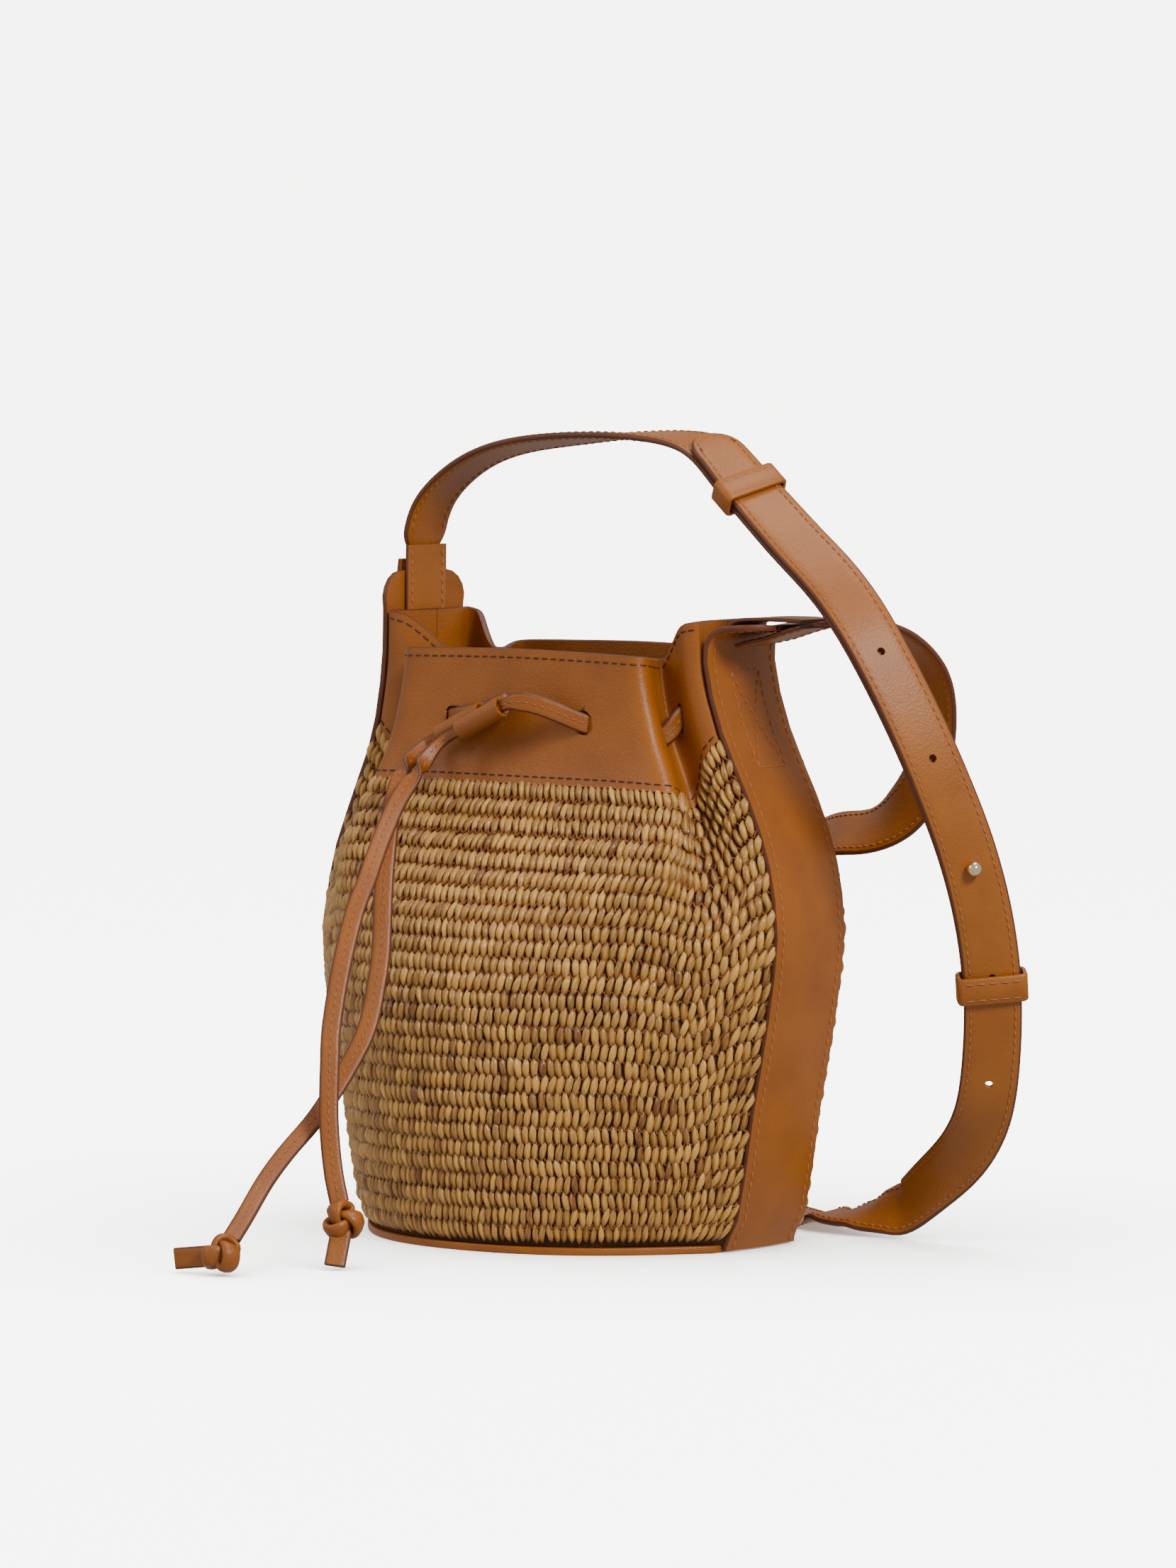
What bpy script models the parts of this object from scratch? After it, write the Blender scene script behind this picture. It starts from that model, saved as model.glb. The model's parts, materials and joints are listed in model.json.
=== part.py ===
"""Bucket bag: woven panels, leather gussets, collar, drawstring and shoulder strap.

Frame: metres, +Z up, origin at the centre of the base on its underside,
+X towards the right gusset, -Y towards the front.
"""
import math

import bmesh
import bpy
import numpy as np

# ---------------------------------------------------------------- dimensions
GUSSET_HALF = 0.0240        # half width of a side strip
GUSSET_T = 0.0024           # leather of the gussets
WEAVE_T = 0.0028            # thickness of the woven raffia
COLLAR_T = 0.0026           # two leathers of the collar
BASE_T = 0.0033             # visible edge of the base
BOARD_T = 0.0020            # stiffener inside the base
LINING_T = 0.0010
GAP = 0.0003                # clearance between touching pieces
STRAP_W = 0.0250            # shoulder strap width
STRAP_T = 0.0026            # shoulder strap thickness
PLY_T = 0.0016              # one ply of the strap at its roots
THONG_W = 0.0084            # drawstring width
THONG_T = 0.0024            # drawstring thickness
THONG_W_IN = 0.0050         # drawstring width where it is squeezed in the slider
SLIDER_BORE_R = 0.0032
SLIDER_WALL = 0.0014
SLIDER_L = 0.0250
SLIDER_TRAVEL = 0.0080
HOLE_PITCH = 0.0500         # strap holes
HOLE_R = 0.0018
BALL_R = 0.0033

# Half width of the bag along X at the gusset, on the right and on the left,
# and half depth along Y at the middle of a panel, against height.
RIGHT_X = [(0.000, 0.0985), (0.014, 0.1052), (0.060, 0.1135), (0.100, 0.1215),
           (0.138, 0.1262), (0.166, 0.1222), (0.195, 0.1110), (0.223, 0.0968),
           (0.253, 0.0885), (0.300, 0.0870)]
LEFT_X = [(0.000, 0.1000), (0.014, 0.1060), (0.060, 0.1150), (0.100, 0.1235),
          (0.130, 0.1262), (0.161, 0.1205), (0.190, 0.1090), (0.222, 0.0960),
          (0.253, 0.0905), (0.300, 0.0900)]
DEPTH_Y = [(0.000, 0.0840), (0.014, 0.0870), (0.060, 0.0930), (0.100, 0.0945),
           (0.135, 0.0880), (0.166, 0.0700), (0.198, 0.0490), (0.225, 0.0450),
           (0.255, 0.0435), (0.300, 0.0430)]

# Fractions along a half panel, from the gusset edge to its middle: the bulge,
# the pleat's valley, the front fold and the middle of the panel.
T_BULGE, T_VALLEY, T_FOLD = 0.10, 0.29, 0.50

V_ANGLE = math.radians(38.0)  # heading of the strap loop's plane


def clamp01(t):
    return min(1.0, max(0.0, t))


def smooth(t):
    t = clamp01(t)
    return t * t * (3 - 2 * t)


def table(rows, z):
    """Smooth curve through the rows of a dimension table (monotone cubic)."""
    xs = [r[0] for r in rows]
    ys = [r[1] for r in rows]
    if z <= xs[0]:
        return ys[0]
    if z >= xs[-1]:
        return ys[-1]
    i = max(k for k in range(len(xs) - 1) if xs[k] <= z)

    def slope(k):
        if k == 0 or k == len(xs) - 1:
            return 0.0
        a = (ys[k] - ys[k - 1]) / (xs[k] - xs[k - 1])
        b = (ys[k + 1] - ys[k]) / (xs[k + 1] - xs[k])
        return 0.0 if a * b <= 0 else 2 * a * b / (a + b)

    h = xs[i + 1] - xs[i]
    t = (z - xs[i]) / h
    m0, m1 = slope(i) * h, slope(i + 1) * h
    return ((2 * t ** 3 - 3 * t ** 2 + 1) * ys[i] + (t ** 3 - 2 * t ** 2 + t) * m0
            + (-2 * t ** 3 + 3 * t ** 2) * ys[i + 1] + (t ** 3 - t ** 2) * m1)


def half_x(z, side):
    return table(RIGHT_X if side > 0 else LEFT_X, z)


def bezier(p0, p1, p2, p3, t):
    a = 1 - t
    return tuple(a ** 3 * p0[k] + 3 * a * a * t * p1[k] + 3 * a * t * t * p2[k] + t ** 3 * p3[k] for k in range(2))


def open_plan(z, t, side):
    """Plan of half a panel with no pleat: t 0 at the gusset edge, 1 at the middle."""
    ax = half_x(z, side) - 0.0012
    by = table(DEPTH_Y, z)
    g = (ax - 0.0012, GUSSET_HALF + GAP)
    turn = math.radians(40)
    lead = 0.52 * (by - GUSSET_HALF)
    return bezier(g, (g[0] - math.sin(turn) * lead, g[1] + math.cos(turn) * lead), (0.58 * ax, by), (0.0, by), t)


def pleat_plan(z, t, side):
    """Plan of half a panel where the drawstring gathers it: a deep pleat beside the gusset."""
    ax = half_x(z, side) - 0.0012
    by = table(DEPTH_Y, z)
    drop = 0.255 - z
    g = (ax - 0.0012, GUSSET_HALF + GAP)
    bulge = (g[0] - 0.0095, g[1] + 0.0030)
    valley = (ax - 0.0330 - 0.05 * drop, 0.0135 + 0.13 * drop)
    fold = (ax - 0.0185 - 0.02 * drop, by - 0.0010)
    mid = (0.0, by)
    knots = [0.0, T_BULGE, T_VALLEY, T_FOLD, 1.0]
    pts = [g, bulge, valley, fold, mid]

    def straight(u):
        for k in range(4):
            if u <= knots[k + 1] or k == 3:
                f = (u - knots[k]) / (knots[k + 1] - knots[k])
                return tuple(pts[k][i] + f * (pts[k + 1][i] - pts[k][i]) for i in range(2))

    for k, reach in ((1, 0.06), (2, 0.085), (3, 0.095)):
        if abs(t - knots[k]) < reach:
            p0, p2 = straight(knots[k] - reach), straight(knots[k] + reach)
            f = (t - knots[k] + reach) / (2 * reach)
            return tuple((1 - f) ** 2 * p0[i] + 2 * f * (1 - f) * pts[k][i] + f * f * p2[i] for i in range(2))
    return straight(t)


def tab_twist(z, side):
    """How far the left tab's front edge turns outwards, at the gusset's edge."""
    return GUSSET_HALF * math.tan(math.radians(5) * smooth((z - 0.200) / 0.05)) if side < 0 else 0.0


def panel_plan(z, t, side, face):
    """Outer surface of a panel: side +1 right, -1 left; face -1 front, +1 back."""
    k = smooth((z - 0.128) / 0.072)
    o, p = open_plan(z, t, side), pleat_plan(z, t, side)
    x = o[0] + k * (p[0] - o[0])
    y = o[1] + k * (p[1] - o[1])
    x -= face * tab_twist(z, side) * smooth(1 - t / 0.3)
    return side * x, face * y


def collar_bottom(t):
    return table([(0.0, 0.2190), (T_BULGE, 0.2130), (T_VALLEY, 0.1900), (T_FOLD, 0.1975), (0.75, 0.1985), (1.0, 0.1985)], t)


def collar_top(t):
    return table([(0.0, 0.2690), (T_BULGE, 0.2680), (T_VALLEY, 0.2520), (T_FOLD, 0.2540), (0.75, 0.2550), (1.0, 0.2555)], t)


def full_t(u):
    """u from -1 (left gusset edge) to +1 (right gusset edge): the side and the half panel's t."""
    return (1 if u >= 0 else -1), 1 - abs(u)


def panel_point(u, z, face):
    side, t = full_t(u)
    return np.array([*panel_plan(z, t, side, face), z])


# ---------------------------------------------------------------- mesh tools
def clear_scene():
    for o in list(bpy.data.objects):
        bpy.data.objects.remove(o, do_unlink=True)
    for c in list(bpy.data.collections):
        bpy.data.collections.remove(c)


def material(name, rgb, rough, metal=0.0):
    m = bpy.data.materials.new(name)
    m.use_nodes = True
    b = m.node_tree.nodes["Principled BSDF"]
    b.inputs["Base Color"].default_value = (*rgb, 1)
    b.inputs["Roughness"].default_value = rough
    b.inputs["Metallic"].default_value = metal
    return m


def make(name, bm, mat, origin=(0, 0, 0)):
    bmesh.ops.remove_doubles(bm, verts=bm.verts, dist=1e-6)
    bmesh.ops.recalc_face_normals(bm, faces=bm.faces)
    for v in bm.verts:
        v.co.x -= origin[0]
        v.co.y -= origin[1]
        v.co.z -= origin[2]
    me = bpy.data.meshes.new(name)
    bm.to_mesh(me)
    bm.free()
    me.shade_smooth()
    me.set_sharp_from_angle(angle=math.radians(40))
    me.materials.append(mat)
    ob = bpy.data.objects.new(name, me)
    ob.location = origin
    PARTS.objects.link(ob)
    return ob


def loft(bm, rings, closed_path=False, cap=True):
    """Skin a row of equal rings; closed_path joins the last ring to the first."""
    rows = [[bm.verts.new(tuple(p)) for p in ring] for ring in rings]
    n = len(rows[0])
    pairs = list(zip(rows, rows[1:])) + ([(rows[-1], rows[0])] if closed_path else [])
    for a, b in pairs:
        for i in range(n):
            j = (i + 1) % n
            bm.faces.new((a[i], a[j], b[j], b[i]))
    if cap and not closed_path:
        bm.faces.new(list(reversed(rows[0])))
        bm.faces.new(rows[-1])
    return rows


def offset_in(line, dist, inward):
    """Move each point of an open plan line by dist along its own normal, towards inward's side."""
    out = []
    for i, p in enumerate(line):
        a = line[max(i - 1, 0)]
        b = line[min(i + 1, len(line) - 1)]
        tx, ty = b[0] - a[0], b[1] - a[1]
        l = math.hypot(tx, ty) or 1.0
        nx, ny = -ty / l * inward, tx / l * inward
        out.append((p[0] + nx * dist, p[1] + ny * dist))
    return out


def slab(name, mat, outer_pts, inner_pts, origin=(0, 0, 0)):
    """A closed sheet from two equal grids of points: its two faces and four edge strips."""
    bm = bmesh.new()
    outer = [[bm.verts.new(tuple(p)) for p in row] for row in outer_pts]
    inner = [[bm.verts.new(tuple(p)) for p in row] for row in inner_pts]
    rows, cols = len(outer), len(outer[0])
    for r in range(rows - 1):
        for c in range(cols - 1):
            bm.faces.new((outer[r][c], outer[r][c + 1], outer[r + 1][c + 1], outer[r + 1][c]))
            bm.faces.new((inner[r][c + 1], inner[r][c], inner[r + 1][c], inner[r + 1][c + 1]))
    for c in range(cols - 1):
        bm.faces.new((outer[0][c + 1], outer[0][c], inner[0][c], inner[0][c + 1]))
        bm.faces.new((outer[-1][c], outer[-1][c + 1], inner[-1][c + 1], inner[-1][c]))
    for r in range(rows - 1):
        bm.faces.new((outer[r][0], outer[r + 1][0], inner[r + 1][0], inner[r][0]))
        bm.faces.new((outer[r + 1][-1], outer[r][-1], inner[r][-1], inner[r + 1][-1]))
    return make(name, bm, mat, origin)


def shell(name, mat, us, vs, point, thick, square_ends=False):
    """A sheet of points point(u, v), thickened inward along its plan normals."""
    outer, inner = [], []
    for v in vs:
        line = [point(u, v) for u in us]
        mid, ahead = line[len(line) // 2], line[len(line) // 2 + 1]
        tx, ty = ahead[0] - mid[0], ahead[1] - mid[1]
        side = 1 if (ty * mid[0] - tx * mid[1]) > 0 else -1
        inside = offset_in([(p[0], p[1]) for p in line], thick, side)
        if square_ends:
            for k in (0, -1):
                inside[k] = (line[k][0] - math.copysign(thick, line[k][0]), line[k][1])
        outer.append(line)
        inner.append([(q[0], q[1], p[2]) for q, p in zip(inside, line)])
    return slab(name, mat, outer, inner)


def spread(a, b, n):
    return [a + (b - a) * i / (n - 1) for i in range(n)]


def catmull(pts, per):
    """Points along a centripetal-like smooth curve through pts (rows of any length)."""
    pts = [np.array(p, float) for p in pts]
    ext = [2 * pts[0] - pts[1]] + pts + [2 * pts[-1] - pts[-2]]
    out = []
    for i in range(1, len(ext) - 2):
        p0, p1, p2, p3 = ext[i - 1:i + 3]
        for k in range(per):
            t = k / per
            out.append(0.5 * (2 * p1 + (p2 - p0) * t + (2 * p0 - 5 * p1 + 4 * p2 - p3) * t * t
                              + (3 * p1 - p0 - 3 * p2 + p3) * t ** 3))
    out.append(pts[-1])
    return np.array(out)


def resample(rows, count, cols=3):
    """Equal steps along the first three columns."""
    d = np.linalg.norm(np.diff(rows[:, :cols], axis=0), axis=1)
    s = np.concatenate([[0], np.cumsum(d)])
    want = np.linspace(0, s[-1], count)
    return np.array([[np.interp(w, s, rows[:, c]) for c in range(rows.shape[1])] for w in want]), s[-1]


def ease(rows, rounds):
    """Relax a route a little, keeping its ends."""
    rows = rows.copy()
    for _ in range(rounds):
        rows[1:-1] = 0.25 * rows[:-2] + 0.5 * rows[1:-1] + 0.25 * rows[2:]
    return rows


def frames(rows):
    """Centres, tangents, width directions and face normals of a ribbon; columns 3:6 hint at the width."""
    c = rows[:, :3]
    t = np.gradient(c, axis=0)
    t /= np.linalg.norm(t, axis=1)[:, None]
    w = rows[:, 3:6] - (rows[:, 3:6] * t).sum(1)[:, None] * t
    w /= np.linalg.norm(w, axis=1)[:, None]
    return c, t, w, np.cross(t, w)


def ribbon(name, mat, rows, width, thick, lift=0.0, round_start=False, round_end=False, origin=(0, 0, 0)):
    """A flat strap along rows; width may be a list; lift moves it along its face normal."""
    c, t, w, n = frames(rows)
    c = c + n * lift
    width = np.array(width if np.ndim(width) else [width] * len(rows), float)
    s = np.concatenate([[0], np.cumsum(np.linalg.norm(np.diff(c, axis=0), axis=1))])
    bm = bmesh.new()
    rings = []
    for i in range(len(rows)):
        hw = width[i] / 2
        if round_start and s[i] < hw:
            hw = max(0.16 * hw, math.sqrt(max(0.0, hw * hw - (hw - s[i]) ** 2)))
        if round_end and s[-1] - s[i] < width[i] / 2:
            hw = max(0.16 * hw, math.sqrt(max(0.0, hw * hw - (hw - (s[-1] - s[i])) ** 2)))
        h = thick / 2
        rings.append([c[i] + w[i] * hw * a + n[i] * h * b for a, b in ((-1, -1), (1, -1), (1, 1), (-1, 1))])
    loft(bm, rings)
    return make(name, bm, mat, origin)


def boolean_cut(ob, cutters):
    for k, c in enumerate(cutters):
        m = ob.modifiers.new("cut%d" % k, "BOOLEAN")
        m.operation = "DIFFERENCE"
        m.solver = "EXACT"
        m.object = c


def cutter_tube(name, centre, along, width_dir, half_w, half_h, length, sides=12):
    """An oval punch: a cylinder primitive scaled to an oval and turned along its axis."""
    bm = bmesh.new()
    bmesh.ops.create_cone(bm, cap_ends=True, segments=sides, radius1=1.0, radius2=1.0, depth=length)
    a = np.array(along, float)
    a /= np.linalg.norm(a)
    w = np.array(width_dir, float)
    w -= w.dot(a) * a
    w /= np.linalg.norm(w)
    h = np.cross(a, w)
    for v in bm.verts:
        p = np.array(centre) + w * v.co.x * half_w + h * v.co.y * half_h + a * v.co.z
        v.co = tuple(p)
    bm.normal_update()
    if bm.calc_volume(signed=True) < 0:
        bmesh.ops.reverse_faces(bm, faces=bm.faces)
    me = bpy.data.meshes.new(name)
    bm.to_mesh(me)
    bm.free()
    ob = bpy.data.objects.new(name, me)
    ob.hide_render = True
    ob.display_type = "WIRE"
    CUTTERS.objects.link(ob)
    return ob


def loop_frame(s, d, z):
    """Point given across (s) and along (d) the strap loop's heading, and up (z), in metres."""
    return np.array([s * math.cos(V_ANGLE) + d * math.sin(V_ANGLE), s * math.sin(V_ANGLE) - d * math.cos(V_ANGLE), z])


def route(points):
    """Rows of (s, d, z, ws, wd, wz) in millimetres to world centre and width direction."""
    out = []
    for s, d, z, ws, wd, wz in points:
        c = loop_frame(s / 1000, d / 1000, z / 1000)
        w = loop_frame(ws, wd, wz)
        out.append([*c, *(w / np.linalg.norm(w))])
    return out


# ---------------------------------------------------------------- the bag
clear_scene()
PARTS = bpy.data.collections.new("bucket_bag")
CUTTERS = bpy.data.collections.new("cutters")
CUTTERS.hide_render = True
bpy.context.scene.collection.children.link(PARTS)
bpy.context.scene.collection.children.link(CUTTERS)

LEATHER = (0.42, 0.15, 0.035)
M = {
    "weave": material("raffia", (0.52, 0.31, 0.11), 0.55),
    "leather": material("leather", LEATHER, 0.45),
    "strap": material("strap_leather", (0.40, 0.14, 0.032), 0.45),
    "thong": material("thong_leather", (0.45, 0.17, 0.045), 0.5),
    "lining": material("lining_suede", (0.36, 0.17, 0.06), 0.85),
    "board": material("board", (0.45, 0.38, 0.28), 0.9),
    "metal": material("pale_gold", (0.83, 0.74, 0.55), 0.2, 1.0),
}

# Woven panels and collar bands
for face, nm in ((-1, "front"), (1, "back")):
    def us_of(n_pleat, n_flat):
        half = spread(0.0, T_BULGE, 4) + spread(T_BULGE, T_VALLEY, n_pleat)[1:] + spread(T_VALLEY, T_FOLD + 0.1, n_pleat)[1:] + spread(T_FOLD + 0.1, 1.0, n_flat)[1:]
        right = [1 - t for t in half]
        return [-u for u in right] + list(reversed(right))[1:]

    def weave_pt(u, v, face=face):
        t = full_t(u)[1]
        z = BASE_T + GAP + (collar_bottom(t) - 0.0012 - BASE_T - GAP) * v
        return panel_point(u, z, face)

    shell(nm + "_weave", M["weave"], us_of(7, 6), spread(0.0, 1.0, 11), weave_pt, WEAVE_T, True)


    def collar_pt(u, v, face=face):
        """Collar: |u| up to 1 is the panel, beyond 1 it runs on inside the gusset to the side seam."""
        side = 1 if u >= 0 else -1
        if abs(u) <= 1.0:
            t = 1 - abs(u)
            z = collar_bottom(t) + (collar_top(t) - collar_bottom(t)) * v
            x, y = panel_plan(z, t, side, face)
            ramp = smooth((0.05 - t) / 0.05) * 0.0026
            return np.array([x - side * ramp, y, z])
        z = collar_bottom(0.0) + (collar_top(0.0) - collar_bottom(0.0)) * v
        f = (abs(u) - 1.0)
        gx, gy = panel_plan(z, 0.0, side, face)
        y = abs(gy) * (1 - f) + 0.00015 * f
        deep = 0.0026 + 0.0028 * smooth((f - 0.05) / 0.35)
        return np.array([gx - side * deep + side * face * tab_twist(z, side) * f, face * y, z])

    inner = us_of(7, 6)
    tuck = [1.12, 1.25, 1.4, 1.6, 2.0]
    ob = shell(nm + "_collar", M["leather"], [-u for u in reversed(tuck)] + inner + tuck, spread(0.0, 1.0, 5), collar_pt, COLLAR_T)


# Gussets with their tabs: the left tab stands up, the right one bends outwards
def gusset_line(side):
    """Outer centre line in (x, z) with its step direction, from the floor to the tab's end."""
    line = [(half_x(z, side), z) for z in (0.0006, 0.006, 0.014, 0.035, 0.060, 0.080, 0.100, 0.118, 0.136, 0.152, 0.166, 0.180, 0.195, 0.209, 0.223, 0.238, 0.252)]
    if side > 0:
        x0, z0, r = line[-1][0], line[-1][1], 0.0085
        for k in range(1, 7):
            a = math.radians(86) * k / 6
            line.append((x0 + r * (1 - math.cos(a)), z0 + 0.004 + r * math.sin(a)))
        x1, z1 = line[-1]
        for e in (0.006, 0.0095, 0.0125, 0.0155, 0.0180, 0.0195):
            line.append((x1 + e * math.cos(math.radians(4)), z1 + e * math.sin(math.radians(4))))
    else:
        for z in (0.262, 0.270, 0.2755, 0.2795, 0.2830, 0.2855, 0.2865):
            line.append((half_x(z, side), z))
    return line


def gusset_grid(side):
    line = gusset_line(side)
    run = [0.0]
    for a, b in zip(line, line[1:]):
        run.append(run[-1] + math.hypot(b[0] - a[0], b[1] - a[1]))
    outer, inner = [], []
    corner = 0.012
    for i, (x, z) in enumerate(line):
        a, b = line[max(i - 1, 0)], line[min(i + 1, len(line) - 1)]
        tx, tz = b[0] - a[0], b[1] - a[1]
        l = math.hypot(tx, tz)
        nx, nz = tz / l, -tx / l
        left = run[-1] - run[i]
        hw = GUSSET_HALF
        if left < corner:
            hw = GUSSET_HALF - corner + math.sqrt(max(0.0, corner ** 2 - (corner - left) ** 2)) + 0.0006
        twist = math.radians(5) * smooth((z - 0.200) / 0.05) if side < 0 else 0.0
        ro, ri = [], []
        for f in (-1, -0.5, 0, 0.5, 1):
            y = f * hw
            dip = 0.0012 * (y / GUSSET_HALF) ** 2
            ox = x - nx * dip - y * math.tan(twist)
            oz = z - nz * dip
            ro.append((side * ox, y, oz))
            ri.append((side * (ox - nx * GUSSET_T), y, oz - nz * GUSSET_T))
        outer.append(ro)
        inner.append(ri)
    return outer, inner


for side, nm in ((-1, "left"), (1, "right")):
    outer, inner = gusset_grid(side)
    slab(nm + "_gusset", M["leather"], outer, inner)

# Base: leather panel and stiffener, as flat outlines
def outline(name, mat, pts, z0, z1):
    cu = bpy.data.curves.new(name, "CURVE")
    cu.dimensions = "2D"
    cu.fill_mode = "BOTH"
    cu.extrude = (z1 - z0) / 2
    sp = cu.splines.new("POLY")
    sp.points.add(len(pts) - 1)
    for q, p in zip(sp.points, pts):
        q.co = (p[0], p[1], 0.0, 1.0)
    sp.use_cyclic_u = True
    cu.materials.append(mat)
    ob = bpy.data.objects.new(name, cu)
    ob.location = (0, 0, (z0 + z1) / 2)
    PARTS.objects.link(ob)
    return ob


def floor_outline(z, grow, end_x):
    """Plan of the base: the two panels' lines grown outwards, with straight ends inside the gussets."""
    pts = []
    for face in (-1, 1):
        us = spread(-1, 1, 33) if face < 0 else spread(1, -1, 33)
        line = [panel_point(u, z, face) for u in us]
        pl = offset_in([(p[0], p[1]) for p in line], abs(grow), -1 if grow > 0 else 1)
        pl = [(max(-end_x, min(end_x, p[0])), p[1]) for p in pl]
        pts += pl
    return pts


outline("base_panel", M["leather"], floor_outline(BASE_T, 0.0004, 0.0941), 0.0, BASE_T)
outline("base_board", M["board"], floor_outline(BASE_T, -0.0060, 0.0895), BASE_T + GAP, BASE_T + GAP + BOARD_T)

# Lining: an open cup inside the panels and gussets
def lining_ring(v, extra):
    pts = []
    z0 = BASE_T + BOARD_T + 3 * GAP
    for face in (-1, 1):
        us = spread(-1, -1 + T_BULGE, 3) + spread(-1 + T_BULGE, -1 + T_VALLEY, 7)[1:] + spread(-1 + T_VALLEY, -1 + T_FOLD + 0.1, 7)[1:] + spread(-1 + T_FOLD + 0.1, 0, 6)[1:]
        us = us + [-u for u in reversed(us[:-1])]
        if face > 0:
            us = list(reversed(us))
        line = []
        for u in us:
            t = 1 - abs(u)
            z = z0 + (collar_bottom(t) - 0.020 - z0) * v
            line.append(panel_point(u, z, face))
        inside = offset_in([(p[0], p[1]) for p in line], WEAVE_T + 0.0016 + extra, 1)
        for k in (0, -1):
            inside[k] = (line[k][0] - math.copysign(WEAVE_T + 0.0018 + extra, line[k][0]), line[k][1] - face * 0.0035)
        pts += [(q[0], q[1], p[2]) for q, p in zip(inside, line)]
    return pts


bm = bmesh.new()
steps = spread(0.0, 1.0, 8)
rings = [lining_ring(v, 0.0) for v in steps] + [lining_ring(v, LINING_T) for v in reversed(steps[1:])]
lowest = lining_ring(0.0, LINING_T)
rings.append([(p[0], p[1], p[2] + LINING_T) for p in lowest])
loft(bm, rings)
make("lining", bm, M["lining"])

# Strap roots: two plies fork over each tab
PIVOT_L = np.array([-0.0889, 0.0, 0.3050])
PIVOT_R = np.array([0.1290, 0.0, 0.2690])
LEAN = math.radians(5)
WL = (math.sin(LEAN), math.cos(LEAN), 0.0)


def world_rows(points, w):
    return [[*p, *w] for p in points]


def fine(rows, count, rounds=4):
    r, _ = resample(catmull(rows, 12), count * 3)
    r = ease(r, rounds)
    return resample(r, count)[0]


left_in = world_rows([(-0.0902, 0, 0.2290), (-0.0882, 0, 0.2400), (-0.0868, 0, 0.2500), (-0.0863, 0, 0.2700), (-0.0862, 0, 0.2850), (-0.0861, 0, 0.2975)], WL)
ribbon("strap_ply_left_inner", M["strap"], fine(left_in, 10), STRAP_W, PLY_T)
left_out = world_rows([(-0.0918, 0, 0.2560), (-0.0915, 0, 0.2700), (-0.0914, 0, 0.2800), (-0.0910, 0, 0.2870), (-0.0904, 0, 0.2912)], WL)
ribbon("strap_ply_left_outer", M["strap"], fine(left_out, 8), STRAP_W, PLY_T)
WR = (0.0, 1.0, 0.0)
right_in = world_rows([(0.0905, 0, 0.2250), (0.0880, 0, 0.2330), (0.0850, 0, 0.2450), (0.0846, 0, 0.2560), (0.0866, 0, 0.2635), (0.0915, 0, 0.2690),
                       (0.0990, 0, 0.2702), (0.1100, 0, 0.2706), (0.1190, 0, 0.2706), (0.1280, 0, 0.2702)], WR)
ribbon("strap_ply_right_inner", M["strap"], fine(right_in, 18), STRAP_W, PLY_T)
right_out = world_rows([(0.0932, 0, 0.2590), (0.0990, 0, 0.2606), (0.1080, 0, 0.2624), (0.1180, 0, 0.2655), (0.1280, 0, 0.2680)], WR)
ribbon("strap_ply_right_outer", M["strap"], fine(right_out, 8), STRAP_W, PLY_T)

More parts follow.
